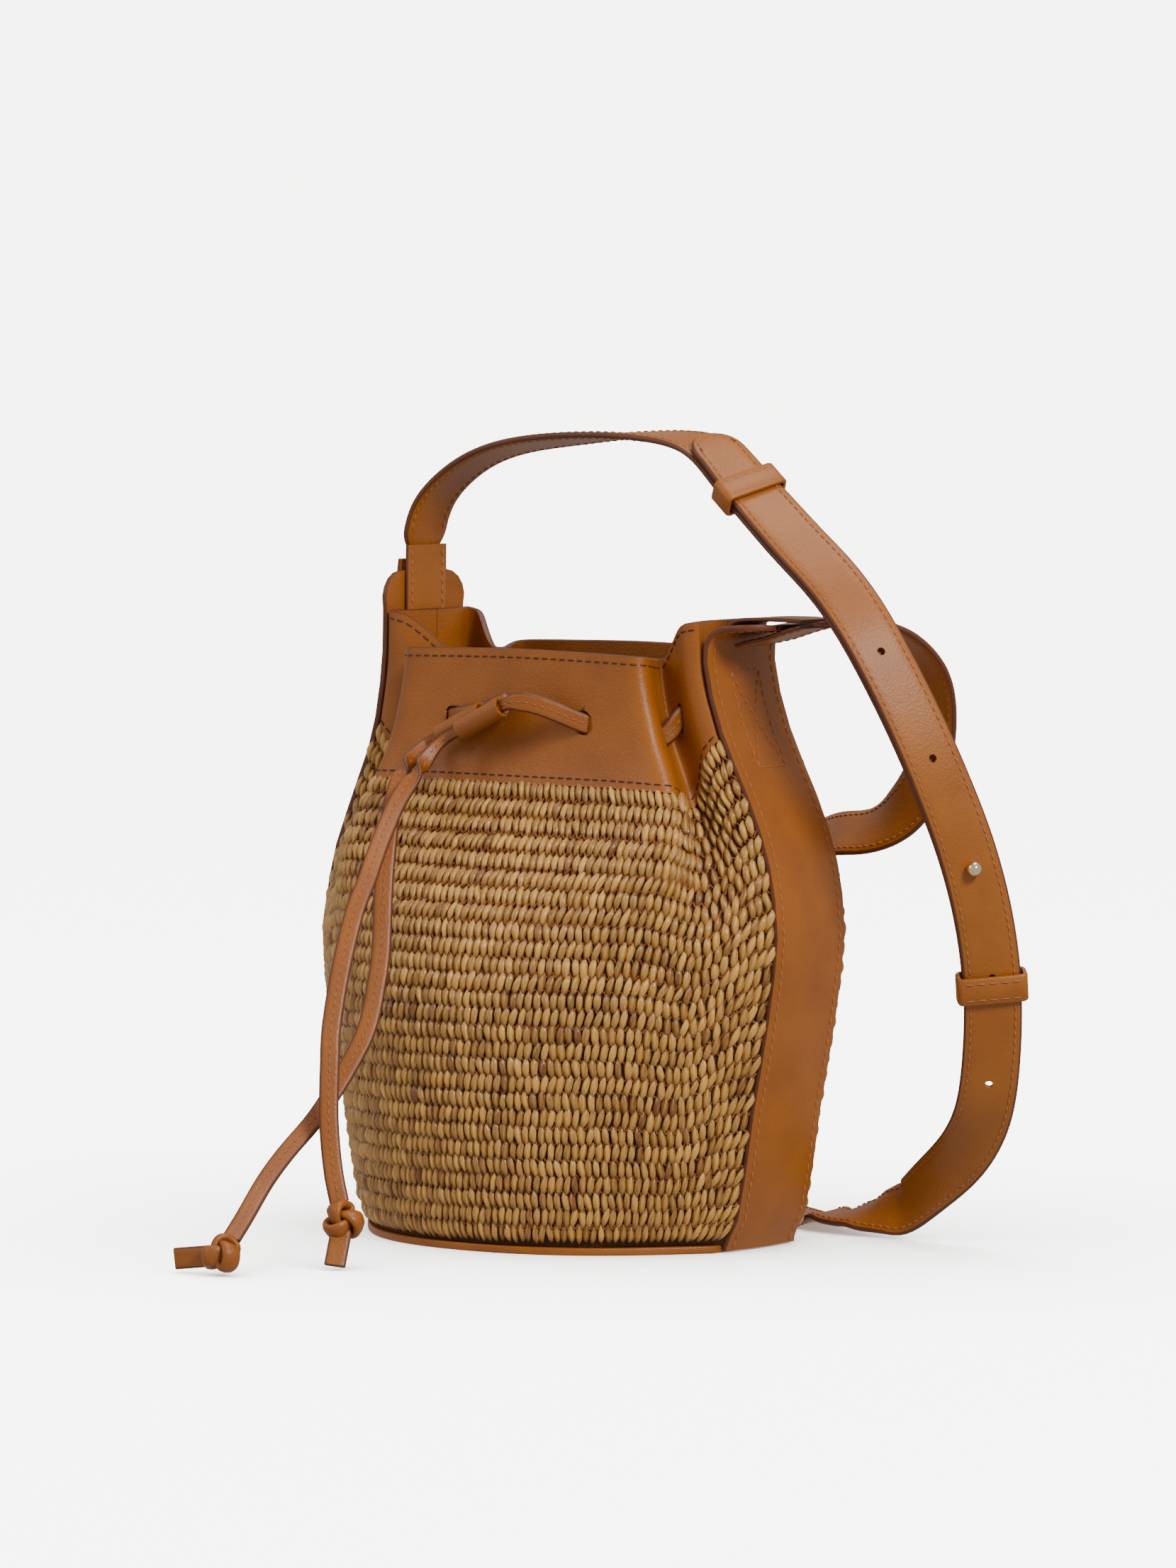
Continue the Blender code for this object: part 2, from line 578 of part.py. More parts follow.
# Shoulder strap: one route from the left root, over the mouth, round on the right, along the
# floor, up behind the bag and back to the right root.  Rows: across, along, up, width direction.
LOOP = route([
    (-70.0, -56.5, 292.5, 0.70, -0.71, 0.0),
    (-69.0, -55.5, 301.0, 0.70, -0.71, 0.0),
    (-64.5, -51.0, 317.0, 0.69, -0.72, -0.05),
    (-49.0, -38.0, 333.5, 0.60, -0.78, -0.12),
    (-30.0, -24.0, 343.0, 0.48, -0.85, -0.18),
    (-3.0, -4.0, 348.5, 0.42, -0.88, -0.15),
    (25.0, 18.0, 351.0, 0.50, -0.85, 0.02),
    (52.5, 42.0, 347.5, 0.68, -0.70, 0.22),
    (70.5, 60.0, 328.6, 0.77, -0.55, 0.32),
    (90.6, 82.0, 306.1, 0.78, -0.46, 0.42),
    (108.9, 99.5, 286.3, 0.79, -0.42, 0.44),
    (124.9, 111.5, 261.6, 0.80, -0.40, 0.44),
    (146.6, 116.0, 217.4, 0.86, -0.32, 0.38),
    (165.4, 109.0, 167.9, 0.95, -0.16, 0.27),
    (174.5, 98.0, 120.1, 0.98, -0.08, 0.10),
    (173.8, 80.0, 70.0, 0.97, 0.06, -0.04),
    (166.2, 60.0, 43.6, 0.84, 0.30, -0.38),
    (150.4, 38.0, 24.0, 0.55, 0.60, -0.56),
    (135.5, 19.0, 9.5, 0.36, 0.85, -0.36),
    (119.5, 2.0, 2.2, 0.10, 0.98, -0.05),
    (107.0, -15.0, 1.7, -0.40, 0.90, 0.0),
    (99.0, -36.0, 1.7, -0.80, 0.58, 0.0),
    (90.0, -60.0, 2.5, -0.92, 0.38, 0.0),
    (77.0, -86.0, 9.0, -0.92, 0.38, 0.0),
    (63.0, -107.0, 31.0, -0.92, 0.38, 0.05),
    (55.0, -117.0, 65.0, -0.90, 0.42, 0.10),
    (60.0, -114.0, 105.0, -0.78, 0.60, 0.0),
    (78.0, -90.0, 141.0, -0.50, 0.80, -0.20),
    (95.0, -52.0, 163.0, -0.20, 0.90, -0.35),
    (110.1, -12.0, 172.6, 0.00, 0.91, -0.41),
    (126.5, 11.0, 176.5, 0.02, 0.80, -0.60),
    (140.8, 28.0, 187.5, 0.25, 0.36, -0.88),
    (150.0, 42.0, 206.4, 0.52, 0.60, -0.60),
    (152.5, 54.0, 228.4, 0.60, 0.78, -0.10),
    (149.5, 64.0, 248.7, 0.48, 0.85, 0.15),
    (138.0, 72.0, 262.5, 0.05, 0.92, 0.35),
    (126.0, 79.5, 268.4, -0.42, 0.88, 0.22),
    (116.2, 84.5, 269.2, -0.6157, 0.788, 0.03),
    (110.6, 85.6, 269.0, -0.6157, 0.788, 0.0),
    (107.6, 84.1, 269.0, -0.6157, 0.788, 0.0),
    (104.2, 81.4, 269.0, -0.6157, 0.788, 0.0),
])
STEP = 0.0045
dense, LENGTH = resample(catmull(LOOP, 14), 900)
dense = ease(dense, 40)
dense, LENGTH = resample(dense, int(LENGTH / 0.001))
# keep the lowest corner of the ribbon on the floor
for _ in range(6):
    c_, t_, w_, n_ = frames(dense)
    low = c_[:, 2] - np.abs(w_[:, 2]) * STRAP_W / 2 - np.abs(n_[:, 2]) * STRAP_T / 2
    need = np.maximum(0.0, 0.0012 - low)
    if need.max() < 1e-5:
        break
    for _k in range(12):
        need[1:-1] = np.maximum(need[1:-1], 0.25 * need[:-2] + 0.5 * need[1:-1] + 0.25 * need[2:])
    dense[:, 2] += need


def station(height_s):
    """Index of the route point closest to the given across-position and height on the front run."""
    target = np.array(height_s) / 1000.0
    run = dense[: len(dense) // 2]
    s = run[:, 0] * math.cos(V_ANGLE) + run[:, 1] * math.sin(V_ANGLE)
    return int(np.argmin((s - target[0]) ** 2 + (run[:, 2] - target[1]) ** 2))


TIP = station((52.0, 348.0))
UPPER = station((76.0, 330.0))
STUD = station((165.4, 167.9))
LOWER = station((174.3, 115.0))
SHORT_END = LOWER + 9


def every(rows, step):
    return resample(rows, max(4, int(round(len(rows) * 0.001 / step))))[0]


UNDER = -(STRAP_T + 0.0010)
short_rows = every(dense[:SHORT_END], 0.0060)
# the short strap sits under the long one; towards the left root it eases back to the route's line
c_, t_, w_, n_ = frames(short_rows)
away = np.linspace(0, 1, len(short_rows))
for k in range(len(short_rows)):
    short_rows[k, :3] += n_[k] * UNDER * smooth(away[k] / 0.30)
ribbon("strap_short", M["strap"], short_rows, STRAP_W, STRAP_T, round_start=True, origin=tuple(PIVOT_L))
long_rows = every(dense[TIP:], 0.0070)
LONG = ribbon("strap_long", M["strap"], long_rows, STRAP_W, STRAP_T, round_start=True, origin=tuple(PIVOT_L))

dc, dt, dw, dn = frames(dense)
punches = []
for k in (-2, -1, 0, 1, 2):
    i = STUD + int(round(k * HOLE_PITCH / 0.001))
    r = HOLE_R if k else 0.0016
    punches.append(cutter_tube("punch_%d" % (k + 2), dc[i], dn[i], dw[i], r, r, 0.012, 10))
SHORT = bpy.data.objects["strap_short"]
boolean_cut(LONG, punches)
boolean_cut(SHORT, [punches[2]])

# Ball stud through both straps, with its screwed back disc
def turned(name, mat, centre, axis, profile, sides=16):
    """A solid of revolution: profile rows (radius, height) from bottom to top, on the given axis."""
    a = np.array(axis, float)
    a /= np.linalg.norm(a)
    u = np.cross(a, (0, 0, 1.0))
    u /= np.linalg.norm(u)
    v = np.cross(a, u)
    bm = bmesh.new()
    rings = [[np.array(centre) + a * h + (u * math.cos(2 * math.pi * k / sides) + v * math.sin(2 * math.pi * k / sides)) * r for k in range(sides)] for r, h in profile]
    loft(bm, rings)
    return make(name, bm, mat)


sc, sn = dc[STUD], dn[STUD]
half = STRAP_T / 2
neck = half + 0.0010
ball = [(0.0012, -(STRAP_T * 1.5 + 0.0013)), (0.0012, half), (0.0021, half + 0.0004), (0.0021, neck)]
for k in range(2, 9):
    a = math.radians(180 - 180 * k / 9)
    ball.append((BALL_R * math.sin(a), neck + 0.0022 + BALL_R * math.cos(a)))
ball.append((0.0004, neck + 0.0022 + BALL_R))
turned("stud_ball", M["metal"], sc, sn, ball)
back = -(STRAP_T * 1.5 + 0.0013)
turned("stud_back", M["metal"], sc, sn, [(0.0040, back - 0.0016), (0.0042, back - 0.0012), (0.0042, back - 0.0003)], 16)


# Keeper loops: leather bands around both straps
def keeper(name, i, sweep, spare):
    lo = -(STRAP_T * 1.5 + 0.0010) - spare
    hi = STRAP_T / 2 + spare
    wall = 0.0018
    side = STRAP_W / 2 + spare
    c, t, w, n = dc[i], dt[i], dw[i], dn[i]

    def ring(grow, off):
        pts = []
        r = 0.0012 + grow
        for cw, cn, a0 in ((side, hi, 0), (-side, hi, 90), (-side, lo, 180), (side, lo, 270)):
            sx, sy = (1 if cw > 0 else -1), (1 if cn == hi else -1)
            for da in (0, 30, 60, 90):
                a = math.radians(a0 + da)
                pts.append(c + t * off + w * (cw - sx * 0.0012 + math.cos(a) * r) + n * (cn - sy * 0.0012 + math.sin(a) * r))
        return pts

    e = sweep / 2
    bm = bmesh.new()
    loft(bm, [ring(0, -e), ring(wall * 0.75, -e), ring(wall, -e + 0.0006), ring(wall, e - 0.0006), ring(wall * 0.75, e), ring(0, e)], closed_path=True)
    return make(name, bm, M["strap"], tuple(c))


keeper("keeper_upper", UPPER, 0.0120, 0.0010)
keeper("keeper_lower", LOWER, 0.0120, 0.0009)

# Drawstring: slider tubes, the held run through the collar's holes, and two free tails
def V(x, y, z):
    return np.array([x, y, z]) / 1000.0


SL_AXIS = np.array([0.902, 0.0, 0.431])
SL_AXIS /= np.linalg.norm(SL_AXIS)
FRONT_MOUTH = V(-18.0, -60.5, 221.3)
REAR_MOUTH = V(-34.0, -54.0, 218.3)


def rod(name, start, axis, length, radius, sides, target):
    bm = bmesh.new()
    bmesh.ops.create_cone(bm, cap_ends=True, segments=sides, radius1=radius, radius2=radius, depth=length)
    a = axis / np.linalg.norm(axis)
    u = np.cross((0, 1.0, 0), a)
    u /= np.linalg.norm(u)
    v = np.cross(a, u)
    mid = start + a * length / 2
    for q in bm.verts:
        q.co = tuple(mid + u * q.co.x + v * q.co.y + a * q.co.z)
    bm.normal_update()
    if bm.calc_volume(signed=True) < 0:
        bmesh.ops.reverse_faces(bm, faces=bm.faces)
    me = bpy.data.meshes.new(name)
    bm.to_mesh(me)
    bm.free()
    me.shade_smooth()
    me.set_sharp_from_angle(angle=math.radians(40))
    ob = bpy.data.objects.new(name, me)
    target.objects.link(ob)
    if target is CUTTERS:
        ob.hide_render = True
        ob.display_type = "WIRE"
    return ob


outer_r = SLIDER_BORE_R + SLIDER_WALL
SLIDER = rod("slider", FRONT_MOUTH, SL_AXIS, SLIDER_L, outer_r, 20, PARTS)
SLIDER.data.materials.append(M["thong"])
second = rod("slider_second_tube", REAR_MOUTH, SL_AXIS, SLIDER_L, outer_r, 20, CUTTERS)
m = SLIDER.modifiers.new("join", "BOOLEAN")
m.operation = "UNION"
m.solver = "EXACT"
m.object = second
boolean_cut(SLIDER, [rod("slider_bore_%d" % k, mouth - SL_AXIS * 0.01, SL_AXIS, SLIDER_L + 0.02, SLIDER_BORE_R, 16, CUTTERS)
                     for k, mouth in enumerate((FRONT_MOUTH, REAR_MOUTH))])

UP = (-0.431, 0.0, 0.902)
front_top = FRONT_MOUTH + SL_AXIS * (SLIDER_L + 0.0004)
rear_top = REAR_MOUTH + SL_AXIS * (SLIDER_L + 0.0004)


def held_side(side, zlift):
    """The run on one side, from just inside the front hole round the gusset to the middle of the back."""
    dx = 0.0 if side > 0 else -0.9
    pts = [(42, -40.2, 223.5), (50, -38.3, 221.5), (58, -35.6, 219), (64.8, -31.8, 218.5), (69.6, -27.6, 222), (71.8, -21.6, 229),
           (74.6, -14.6, 231.5), (78.6, -7.2, 232), (80.0, 0.0, 232), (78.6, 7.2, 232), (74.6, 14.6, 231.5), (71.8, 21.6, 229),
           (69.6, 27.6, 222), (64.8, 31.8, 218.5), (58, 35.6, 220), (50, 38.3, 222), (40, 39.8, 224), (20, 40.4, 225), (8, 40.6, 225)]
    return [V(side * (x + dx), y, z + zlift) for x, y, z in pts]


right_start = [front_top, front_top + SL_AXIS * 0.004, V(12, -60.0, 234.6), V(19, -57.0, 233.6), V(26.5, -52.0, 230.5), V(33, -46.9, 227.0), V(37.3, -43.6, 225.0)]
left_start = [rear_top, rear_top + SL_AXIS * 0.004, V(-2.6, -53.6, 232.6), V(0.4, -51.2, 233.6), V(-2.0, -48.6, 232.8), V(-9, -47.6, 230.8), V(-18, -47.5, 228.6), V(-26, -47.3, 226.8), V(-32.5, -46.2, 225.6), V(-37.3, -43.2, 225.0)]
held = right_start + held_side(1, 0.0) + list(reversed(held_side(-1, 0.0))) + list(reversed(left_start))
held_rows = [[*p, 0.0, 0.0, 1.0] for p in held]
for k in (0, 1, -1, -2):
    held_rows[k][3:6] = UP
hd, hl = resample(catmull(held_rows, 10), 1100)
hd = ease(hd, 30)
hd, hl = resample(hd, 150)
run = np.linspace(0, hl, len(hd))
held_w = [THONG_W_IN + (THONG_W - THONG_W_IN) * smooth(min(r, hl - r) / 0.010) for r in run]
ribbon("drawstring", M["thong"], hd, held_w, THONG_T)


def eyelets(tag, rows, widths):
    """A slot swept along a stretch of the drawstring, a little larger than it all round."""
    ob = ribbon("eyelet_" + tag, M["thong"], rows, [w + 0.0017 for w in widths], THONG_T + 0.0014)
    PARTS.objects.unlink(ob)
    CUTTERS.objects.link(ob)
    ob.hide_render = True
    ob.display_type = "WIRE"
    return ob


for face, nm in ((-1, "front"), (1, "back")):
    cuts = []
    for side, tag in ((1, "r"), (-1, "l")):
        near = [k for k in range(len(hd)) if side * hd[k, 0] > 0.0595 and face * hd[k, 1] > 0.0105]
        cuts.append(eyelets("pleat_" + nm + "_" + tag, hd[near], [held_w[k] for k in near]))
        if face < 0:
            near = [k for k in range(len(hd)) if 0.0285 < side * hd[k, 0] < 0.0465 and hd[k, 1] < 0]
            cuts.append(eyelets("mid_" + nm + "_" + tag, hd[near], [held_w[k] for k in near]))
    boolean_cut(bpy.data.objects[nm + "_collar"], cuts)

TAIL_A = [(-57.7, 31.0, 217.3), (-63.5, 33.0, 212.5), (-70.0, 38.0, 203.3), (-77.7, 46.0, 192.4), (-83.0, 56.0, 181.1), (-87.4, 66.0, 170.0), (-91.2, 75.0, 159.0), (-96.1, 84.0, 146.4),
          (-101.6, 96.0, 123.3), (-105.3, 106.0, 100.3), (-106.0, 112.0, 84.7), (-106.2, 119.0, 61.3), (-104.3, 124.5, 40.8), (-101.6, 128.6, 27.6)]
TAIL_B = [(-66.2, 17.4, 214.4), (-70.6, 20.5, 210.5), (-76.5, 27.0, 203.2), (-80.6, 35.5, 190.0), (-82.6, 43.5, 177.0), (-84.4, 54.0, 153.8), (-85.2, 64.0, 130.2), (-86.9, 70.0, 116.1), (-90.6, 79.0, 97.8),
          (-97.4, 88.0, 83.2), (-111.1, 103.0, 62.0), (-124.3, 116.0, 47.1), (-132.9, 127.0, 36.0), (-141.1, 143.0, 22.6), (-146.3, 152.0, 14.6)]


def tail(name, mouth, far, widths_from):
    lead = [mouth + SL_AXIS * (SLIDER_L - 0.0002), mouth + SL_AXIS * 0.012, mouth, mouth - SL_AXIS * 0.0085]
    rows = [[*p, *UP] for p in lead]
    for k, (sx, dx, zx) in enumerate(far[1:]):
        turn = smooth((k + 1) / 4.0)
        across = loop_frame(1.0, 0.0, 0.0)
        w = np.array(UP) * (1 - turn) + across * turn
        rows.append([*loop_frame(sx / 1000, dx / 1000, zx / 1000), *w])
    r, l = resample(catmull(rows, 10), 700)
    r = ease(r, 8)
    r, l = resample(r, 62)
    run = np.linspace(0, l, len(r))
    keep = SLIDER_L + SLIDER_TRAVEL + 0.0005
    widths = [THONG_W_IN + (THONG_W - THONG_W_IN) * smooth((x - keep) / 0.022) for x in run]
    return ribbon(name, M["thong"], r, widths, THONG_T), r


_, ra = tail("drawstring_tail_a", FRONT_MOUTH, TAIL_A, 0)
_, rb = tail("drawstring_tail_b", REAR_MOUTH, TAIL_B, 0)


def knot(name, centre, axis, along, across, thick, flat_dir):
    """An overhand knot's outer shape: a UV sphere primitive drawn out along the cord."""
    bm = bmesh.new()
    bmesh.ops.create_uvsphere(bm, u_segments=16, v_segments=10, radius=1.0)
    a = np.array(axis, float)
    a /= np.linalg.norm(a)
    f = np.array(flat_dir, float)
    f -= f.dot(a) * a
    f /= np.linalg.norm(f)
    g = np.cross(a, f)
    for q in bm.verts:
        q.co = tuple(np.array(centre) + a * q.co.z * along + f * q.co.x * thick + g * q.co.y * across)
    return make(name, bm, M["thong"])


def end_strip(name, start, stop_at, w):
    rows = [[*(start + (stop_at - start) * k / 5), *w] for k in range(6)]
    ribbon(name, M["thong"], np.array(rows), 0.0092, THONG_T)


across = loop_frame(1.0, 0.0, 0.0)
ka_axis = ra[-1, :3] - ra[-4, :3]
ka_axis /= np.linalg.norm(ka_axis)
ka_c = ra[-1, :3] + ka_axis * (0.0004 + 0.0080)
knot("knot_a", ka_c, ka_axis, 0.0080, 0.0082, 0.0062, loop_frame(0, 1, 0))
ea1 = loop_frame(-0.1032, 0.1420, 0.0022)
ea0 = ka_c + (ea1 - ka_c) / np.linalg.norm(ea1 - ka_c) * 0.0086
end_strip("tail_end_a", ea0, ea1, across)
kb_axis = rb[-1, :3] - rb[-4, :3]
kb_axis /= np.linalg.norm(kb_axis)
kb_c = rb[-1, :3] + kb_axis * (0.0004 + 0.0088)
kb_c[2] = max(kb_c[2], 0.0086)
knot("knot_b", kb_c, kb_axis, 0.0084, 0.0078, 0.0074, (0, 0, 1.0))
out = loop_frame(-1.0, -0.55, -0.05)
out /= np.linalg.norm(out)
eb0 = kb_c + out * 0.0102
end_strip("tail_end_b", eb0 - np.array([0, 0, 0.0012]), eb0 + out * 0.0125 - np.array([0, 0, 0.0022]), (0.0, 0.0, 1.0))
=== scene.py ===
"""Looks of the bucket bag: woven raffia panels, stitched leather, drawstring and shoulder strap."""

import json
import math

import bmesh
import bpy
import numpy as np
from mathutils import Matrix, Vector

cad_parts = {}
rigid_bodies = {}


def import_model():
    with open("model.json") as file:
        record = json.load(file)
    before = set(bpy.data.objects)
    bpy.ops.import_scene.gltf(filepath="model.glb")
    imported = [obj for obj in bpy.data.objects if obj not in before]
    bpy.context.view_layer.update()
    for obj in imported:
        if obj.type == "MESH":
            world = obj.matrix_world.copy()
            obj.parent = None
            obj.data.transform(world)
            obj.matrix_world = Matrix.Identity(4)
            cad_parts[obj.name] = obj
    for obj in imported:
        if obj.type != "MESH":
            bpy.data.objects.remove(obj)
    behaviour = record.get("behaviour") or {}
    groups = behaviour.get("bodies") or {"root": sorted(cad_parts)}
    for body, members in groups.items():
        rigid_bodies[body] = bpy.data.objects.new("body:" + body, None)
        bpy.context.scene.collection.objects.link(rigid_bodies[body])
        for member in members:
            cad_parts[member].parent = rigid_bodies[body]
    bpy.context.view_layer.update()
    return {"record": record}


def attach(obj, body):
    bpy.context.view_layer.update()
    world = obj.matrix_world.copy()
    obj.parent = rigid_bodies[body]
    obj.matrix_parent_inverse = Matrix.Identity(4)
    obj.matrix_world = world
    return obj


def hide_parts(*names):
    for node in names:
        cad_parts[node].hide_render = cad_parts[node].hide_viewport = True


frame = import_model()
PIECE = {}
FRAMES = {}
EDGE = {}

# Camera, lights, floor
ANGLE = math.radians(38)
right = Vector((math.cos(ANGLE), math.sin(ANGLE), 0))
cam_data = bpy.data.cameras.new("cam")
cam_data.sensor_width = 36.0
cam_data.lens = 212.05
cam_data.clip_end = 100
cam = bpy.data.objects.new("cam", cam_data)
bpy.context.scene.collection.objects.link(cam)
cam.location = Vector((math.sin(ANGLE) * 4, -math.cos(ANGLE) * 4, 0.463)) + right * 0.0032
aim = right * 0.0032 + Vector((0, 0, 0.1955))
cam.rotation_euler = (aim - cam.location).to_track_quat("-Z", "Y").to_euler()
bpy.context.scene.camera = cam


def soft_light(name, place, look, size, power, colour=(1, 1, 1)):
    l = bpy.data.lights.new(name, "AREA")
    l.shape = "DISK"
    l.size = size
    l.energy = power
    l.color = colour
    o = bpy.data.objects.new(name, l)
    bpy.context.scene.collection.objects.link(o)
    o.location = place
    o.rotation_euler = (Vector(look) - Vector(place)).to_track_quat("-Z", "Y").to_euler()
    return o


soft_light("key", (2.5, -0.9, 1.9), (0, 0, 0.15), 0.9, 78)
soft_light("top", (0.3, 0.3, 2.7), (0, 0, 0.1), 1.4, 30)
soft_light("fill", (-1.6, -2.2, 1.6), (0, 0, 0.15), 1.3, 14)
world = bpy.data.worlds.new("world")
bpy.context.scene.world = world
world.use_nodes = True
world.node_tree.nodes["Background"].inputs[0].default_value = (0.97, 0.965, 0.955, 1)
world.node_tree.nodes["Background"].inputs[1].default_value = 0.55


def plain(name, rgb, rough, metal=0.0, coat=0.0):
    m = bpy.data.materials.new(name)
    m.use_nodes = True
    b = m.node_tree.nodes["Principled BSDF"]
    b.inputs["Base Color"].default_value = (*rgb, 1)
    b.inputs["Roughness"].default_value = rough
    b.inputs["Metallic"].default_value = metal
    b.inputs["Coat Weight"].default_value = coat
    return m


def floor_sheet():
    """A round floor, and a dome over it that is only seen, so no view has a wall in front of the bag."""
    bm = bmesh.new()
    bmesh.ops.create_circle(bm, cap_ends=True, segments=96, radius=14.0)
    me = bpy.data.meshes.new("backdrop")
    bm.to_mesh(me)
    bm.free()
    bm = bmesh.new()
    bmesh.ops.create_uvsphere(bm, u_segments=64, v_segments=32, radius=13.5)
    sky = bpy.data.meshes.new("sky")
    bm.to_mesh(sky)
    bm.free()
    sky.shade_smooth()
    paper = plain("paper", (0.86, 0.845, 0.83), 0.9)
    paper.node_tree.nodes["Principled BSDF"].inputs["Emission Color"].default_value = (1.0, 0.985, 0.97, 1)
    paper.node_tree.nodes["Principled BSDF"].inputs["Emission Strength"].default_value = 6.0
    nt = paper.node_tree
    # painted contact shadow: ambient occlusion darkens the floor's glow towards near-black close to the bag
    ao = nt.nodes.new("ShaderNodeAmbientOcclusion")
    ao.samples = 8
    ao.inputs["Distance"].default_value = 0.30
    contact_shadow_mix = nt.nodes.new("ShaderNodeMix")
    contact_shadow_mix.data_type = "RGBA"
    contact_shadow_mix.inputs["A"].default_value = (0.05, 0.045, 0.04, 1)
    contact_shadow_mix.inputs["B"].default_value = (1.0, 0.985, 0.96, 1)
    deep = nt.nodes.new("ShaderNodeMath")
    deep.operation = "POWER"
    deep.inputs[1].default_value = 1.8
    nt.links.new(ao.outputs["AO"], deep.inputs[0])
    nt.links.new(deep.outputs[0], contact_shadow_mix.inputs["Factor"])
    nt.links.new(contact_shadow_mix.outputs["Result"], nt.nodes["Principled BSDF"].inputs["Emission Color"])
    me.materials.append(paper)
    glow = plain("paper_far", (0.0, 0.0, 0.0), 1.0)
    glow.node_tree.nodes["Principled BSDF"].inputs["Specular IOR Level"].default_value = 0.0
    glow.node_tree.nodes["Principled BSDF"].inputs["Emission Color"].default_value = (1.0, 0.985, 0.96, 1)
    glow.node_tree.nodes["Principled BSDF"].inputs["Emission Strength"].default_value = 6.6
    sky.materials.append(glow)
    dome = bpy.data.objects.new("sky", sky)
    bpy.context.scene.collection.objects.link(dome)
    dome.visible_diffuse = False
    dome.visible_glossy = False
    dome.visible_shadow = False
    o = bpy.data.objects.new("backdrop", me)
    bpy.context.scene.collection.objects.link(o)
    o.visible_diffuse = False
    o.visible_glossy = False


floor_sheet()

# ---------------------------------------------------------------- dimensions
GUSSET_HALF = 0.0240        # half width of a side strip
GUSSET_T = 0.0024           # leather of the gussets
WEAVE_T = 0.0028            # thickness of the woven raffia
COLLAR_T = 0.0026           # two leathers of the collar
BASE_T = 0.0033             # visible edge of the base
BOARD_T = 0.0020            # stiffener inside the base
LINING_T = 0.0010
GAP = 0.0003                # clearance between touching pieces
STRAP_W = 0.0250            # shoulder strap width
STRAP_T = 0.0026            # shoulder strap thickness
PLY_T = 0.0016              # one ply of the strap at its roots
THONG_W = 0.0084            # drawstring width
THONG_T = 0.0024            # drawstring thickness
THONG_W_IN = 0.0050         # drawstring width where it is squeezed in the slider
SLIDER_BORE_R = 0.0032
SLIDER_WALL = 0.0014
SLIDER_L = 0.0250
SLIDER_TRAVEL = 0.0080
HOLE_PITCH = 0.0500         # strap holes
HOLE_R = 0.0018
BALL_R = 0.0033

# Half width of the bag along X at the gusset, on the right and on the left,
# and half depth along Y at the middle of a panel, against height.
RIGHT_X = [(0.000, 0.0985), (0.014, 0.1052), (0.060, 0.1135), (0.100, 0.1215),
           (0.138, 0.1262), (0.166, 0.1222), (0.195, 0.1110), (0.223, 0.0968),
           (0.253, 0.0885), (0.300, 0.0870)]
LEFT_X = [(0.000, 0.1000), (0.014, 0.1060), (0.060, 0.1150), (0.100, 0.1235),
          (0.130, 0.1262), (0.161, 0.1205), (0.190, 0.1090), (0.222, 0.0960),
          (0.253, 0.0905), (0.300, 0.0900)]
DEPTH_Y = [(0.000, 0.0840), (0.014, 0.0870), (0.060, 0.0930), (0.100, 0.0945),
           (0.135, 0.0880), (0.166, 0.0700), (0.198, 0.0490), (0.225, 0.0450),
           (0.255, 0.0435), (0.300, 0.0430)]

# Fractions along a half panel, from the gusset edge to its middle: the bulge,
# the pleat's valley, the front fold and the middle of the panel.
T_BULGE, T_VALLEY, T_FOLD = 0.10, 0.29, 0.50

V_ANGLE = math.radians(38.0)  # heading of the strap loop's plane


def clamp01(t):
    return min(1.0, max(0.0, t))


def smooth(t):
    t = clamp01(t)
    return t * t * (3 - 2 * t)


def table(rows, z):
    """Smooth curve through the rows of a dimension table (monotone cubic)."""
    xs = [r[0] for r in rows]
    ys = [r[1] for r in rows]
    if z <= xs[0]:
        return ys[0]
    if z >= xs[-1]:
        return ys[-1]
    i = max(k for k in range(len(xs) - 1) if xs[k] <= z)

    def slope(k):
        if k == 0 or k == len(xs) - 1:
            return 0.0
        a = (ys[k] - ys[k - 1]) / (xs[k] - xs[k - 1])
        b = (ys[k + 1] - ys[k]) / (xs[k + 1] - xs[k])
        return 0.0 if a * b <= 0 else 2 * a * b / (a + b)

    h = xs[i + 1] - xs[i]
    t = (z - xs[i]) / h
    m0, m1 = slope(i) * h, slope(i + 1) * h
    return ((2 * t ** 3 - 3 * t ** 2 + 1) * ys[i] + (t ** 3 - 2 * t ** 2 + t) * m0
            + (-2 * t ** 3 + 3 * t ** 2) * ys[i + 1] + (t ** 3 - t ** 2) * m1)


def half_x(z, side):
    return table(RIGHT_X if side > 0 else LEFT_X, z)


def bezier(p0, p1, p2, p3, t):
    a = 1 - t
    return tuple(a ** 3 * p0[k] + 3 * a * a * t * p1[k] + 3 * a * t * t * p2[k] + t ** 3 * p3[k] for k in range(2))


def open_plan(z, t, side):
    """Plan of half a panel with no pleat: t 0 at the gusset edge, 1 at the middle."""
    ax = half_x(z, side) - 0.0012
    by = table(DEPTH_Y, z)
    g = (ax - 0.0012, GUSSET_HALF + GAP)
    turn = math.radians(40)
    lead = 0.52 * (by - GUSSET_HALF)
    return bezier(g, (g[0] - math.sin(turn) * lead, g[1] + math.cos(turn) * lead), (0.58 * ax, by), (0.0, by), t)


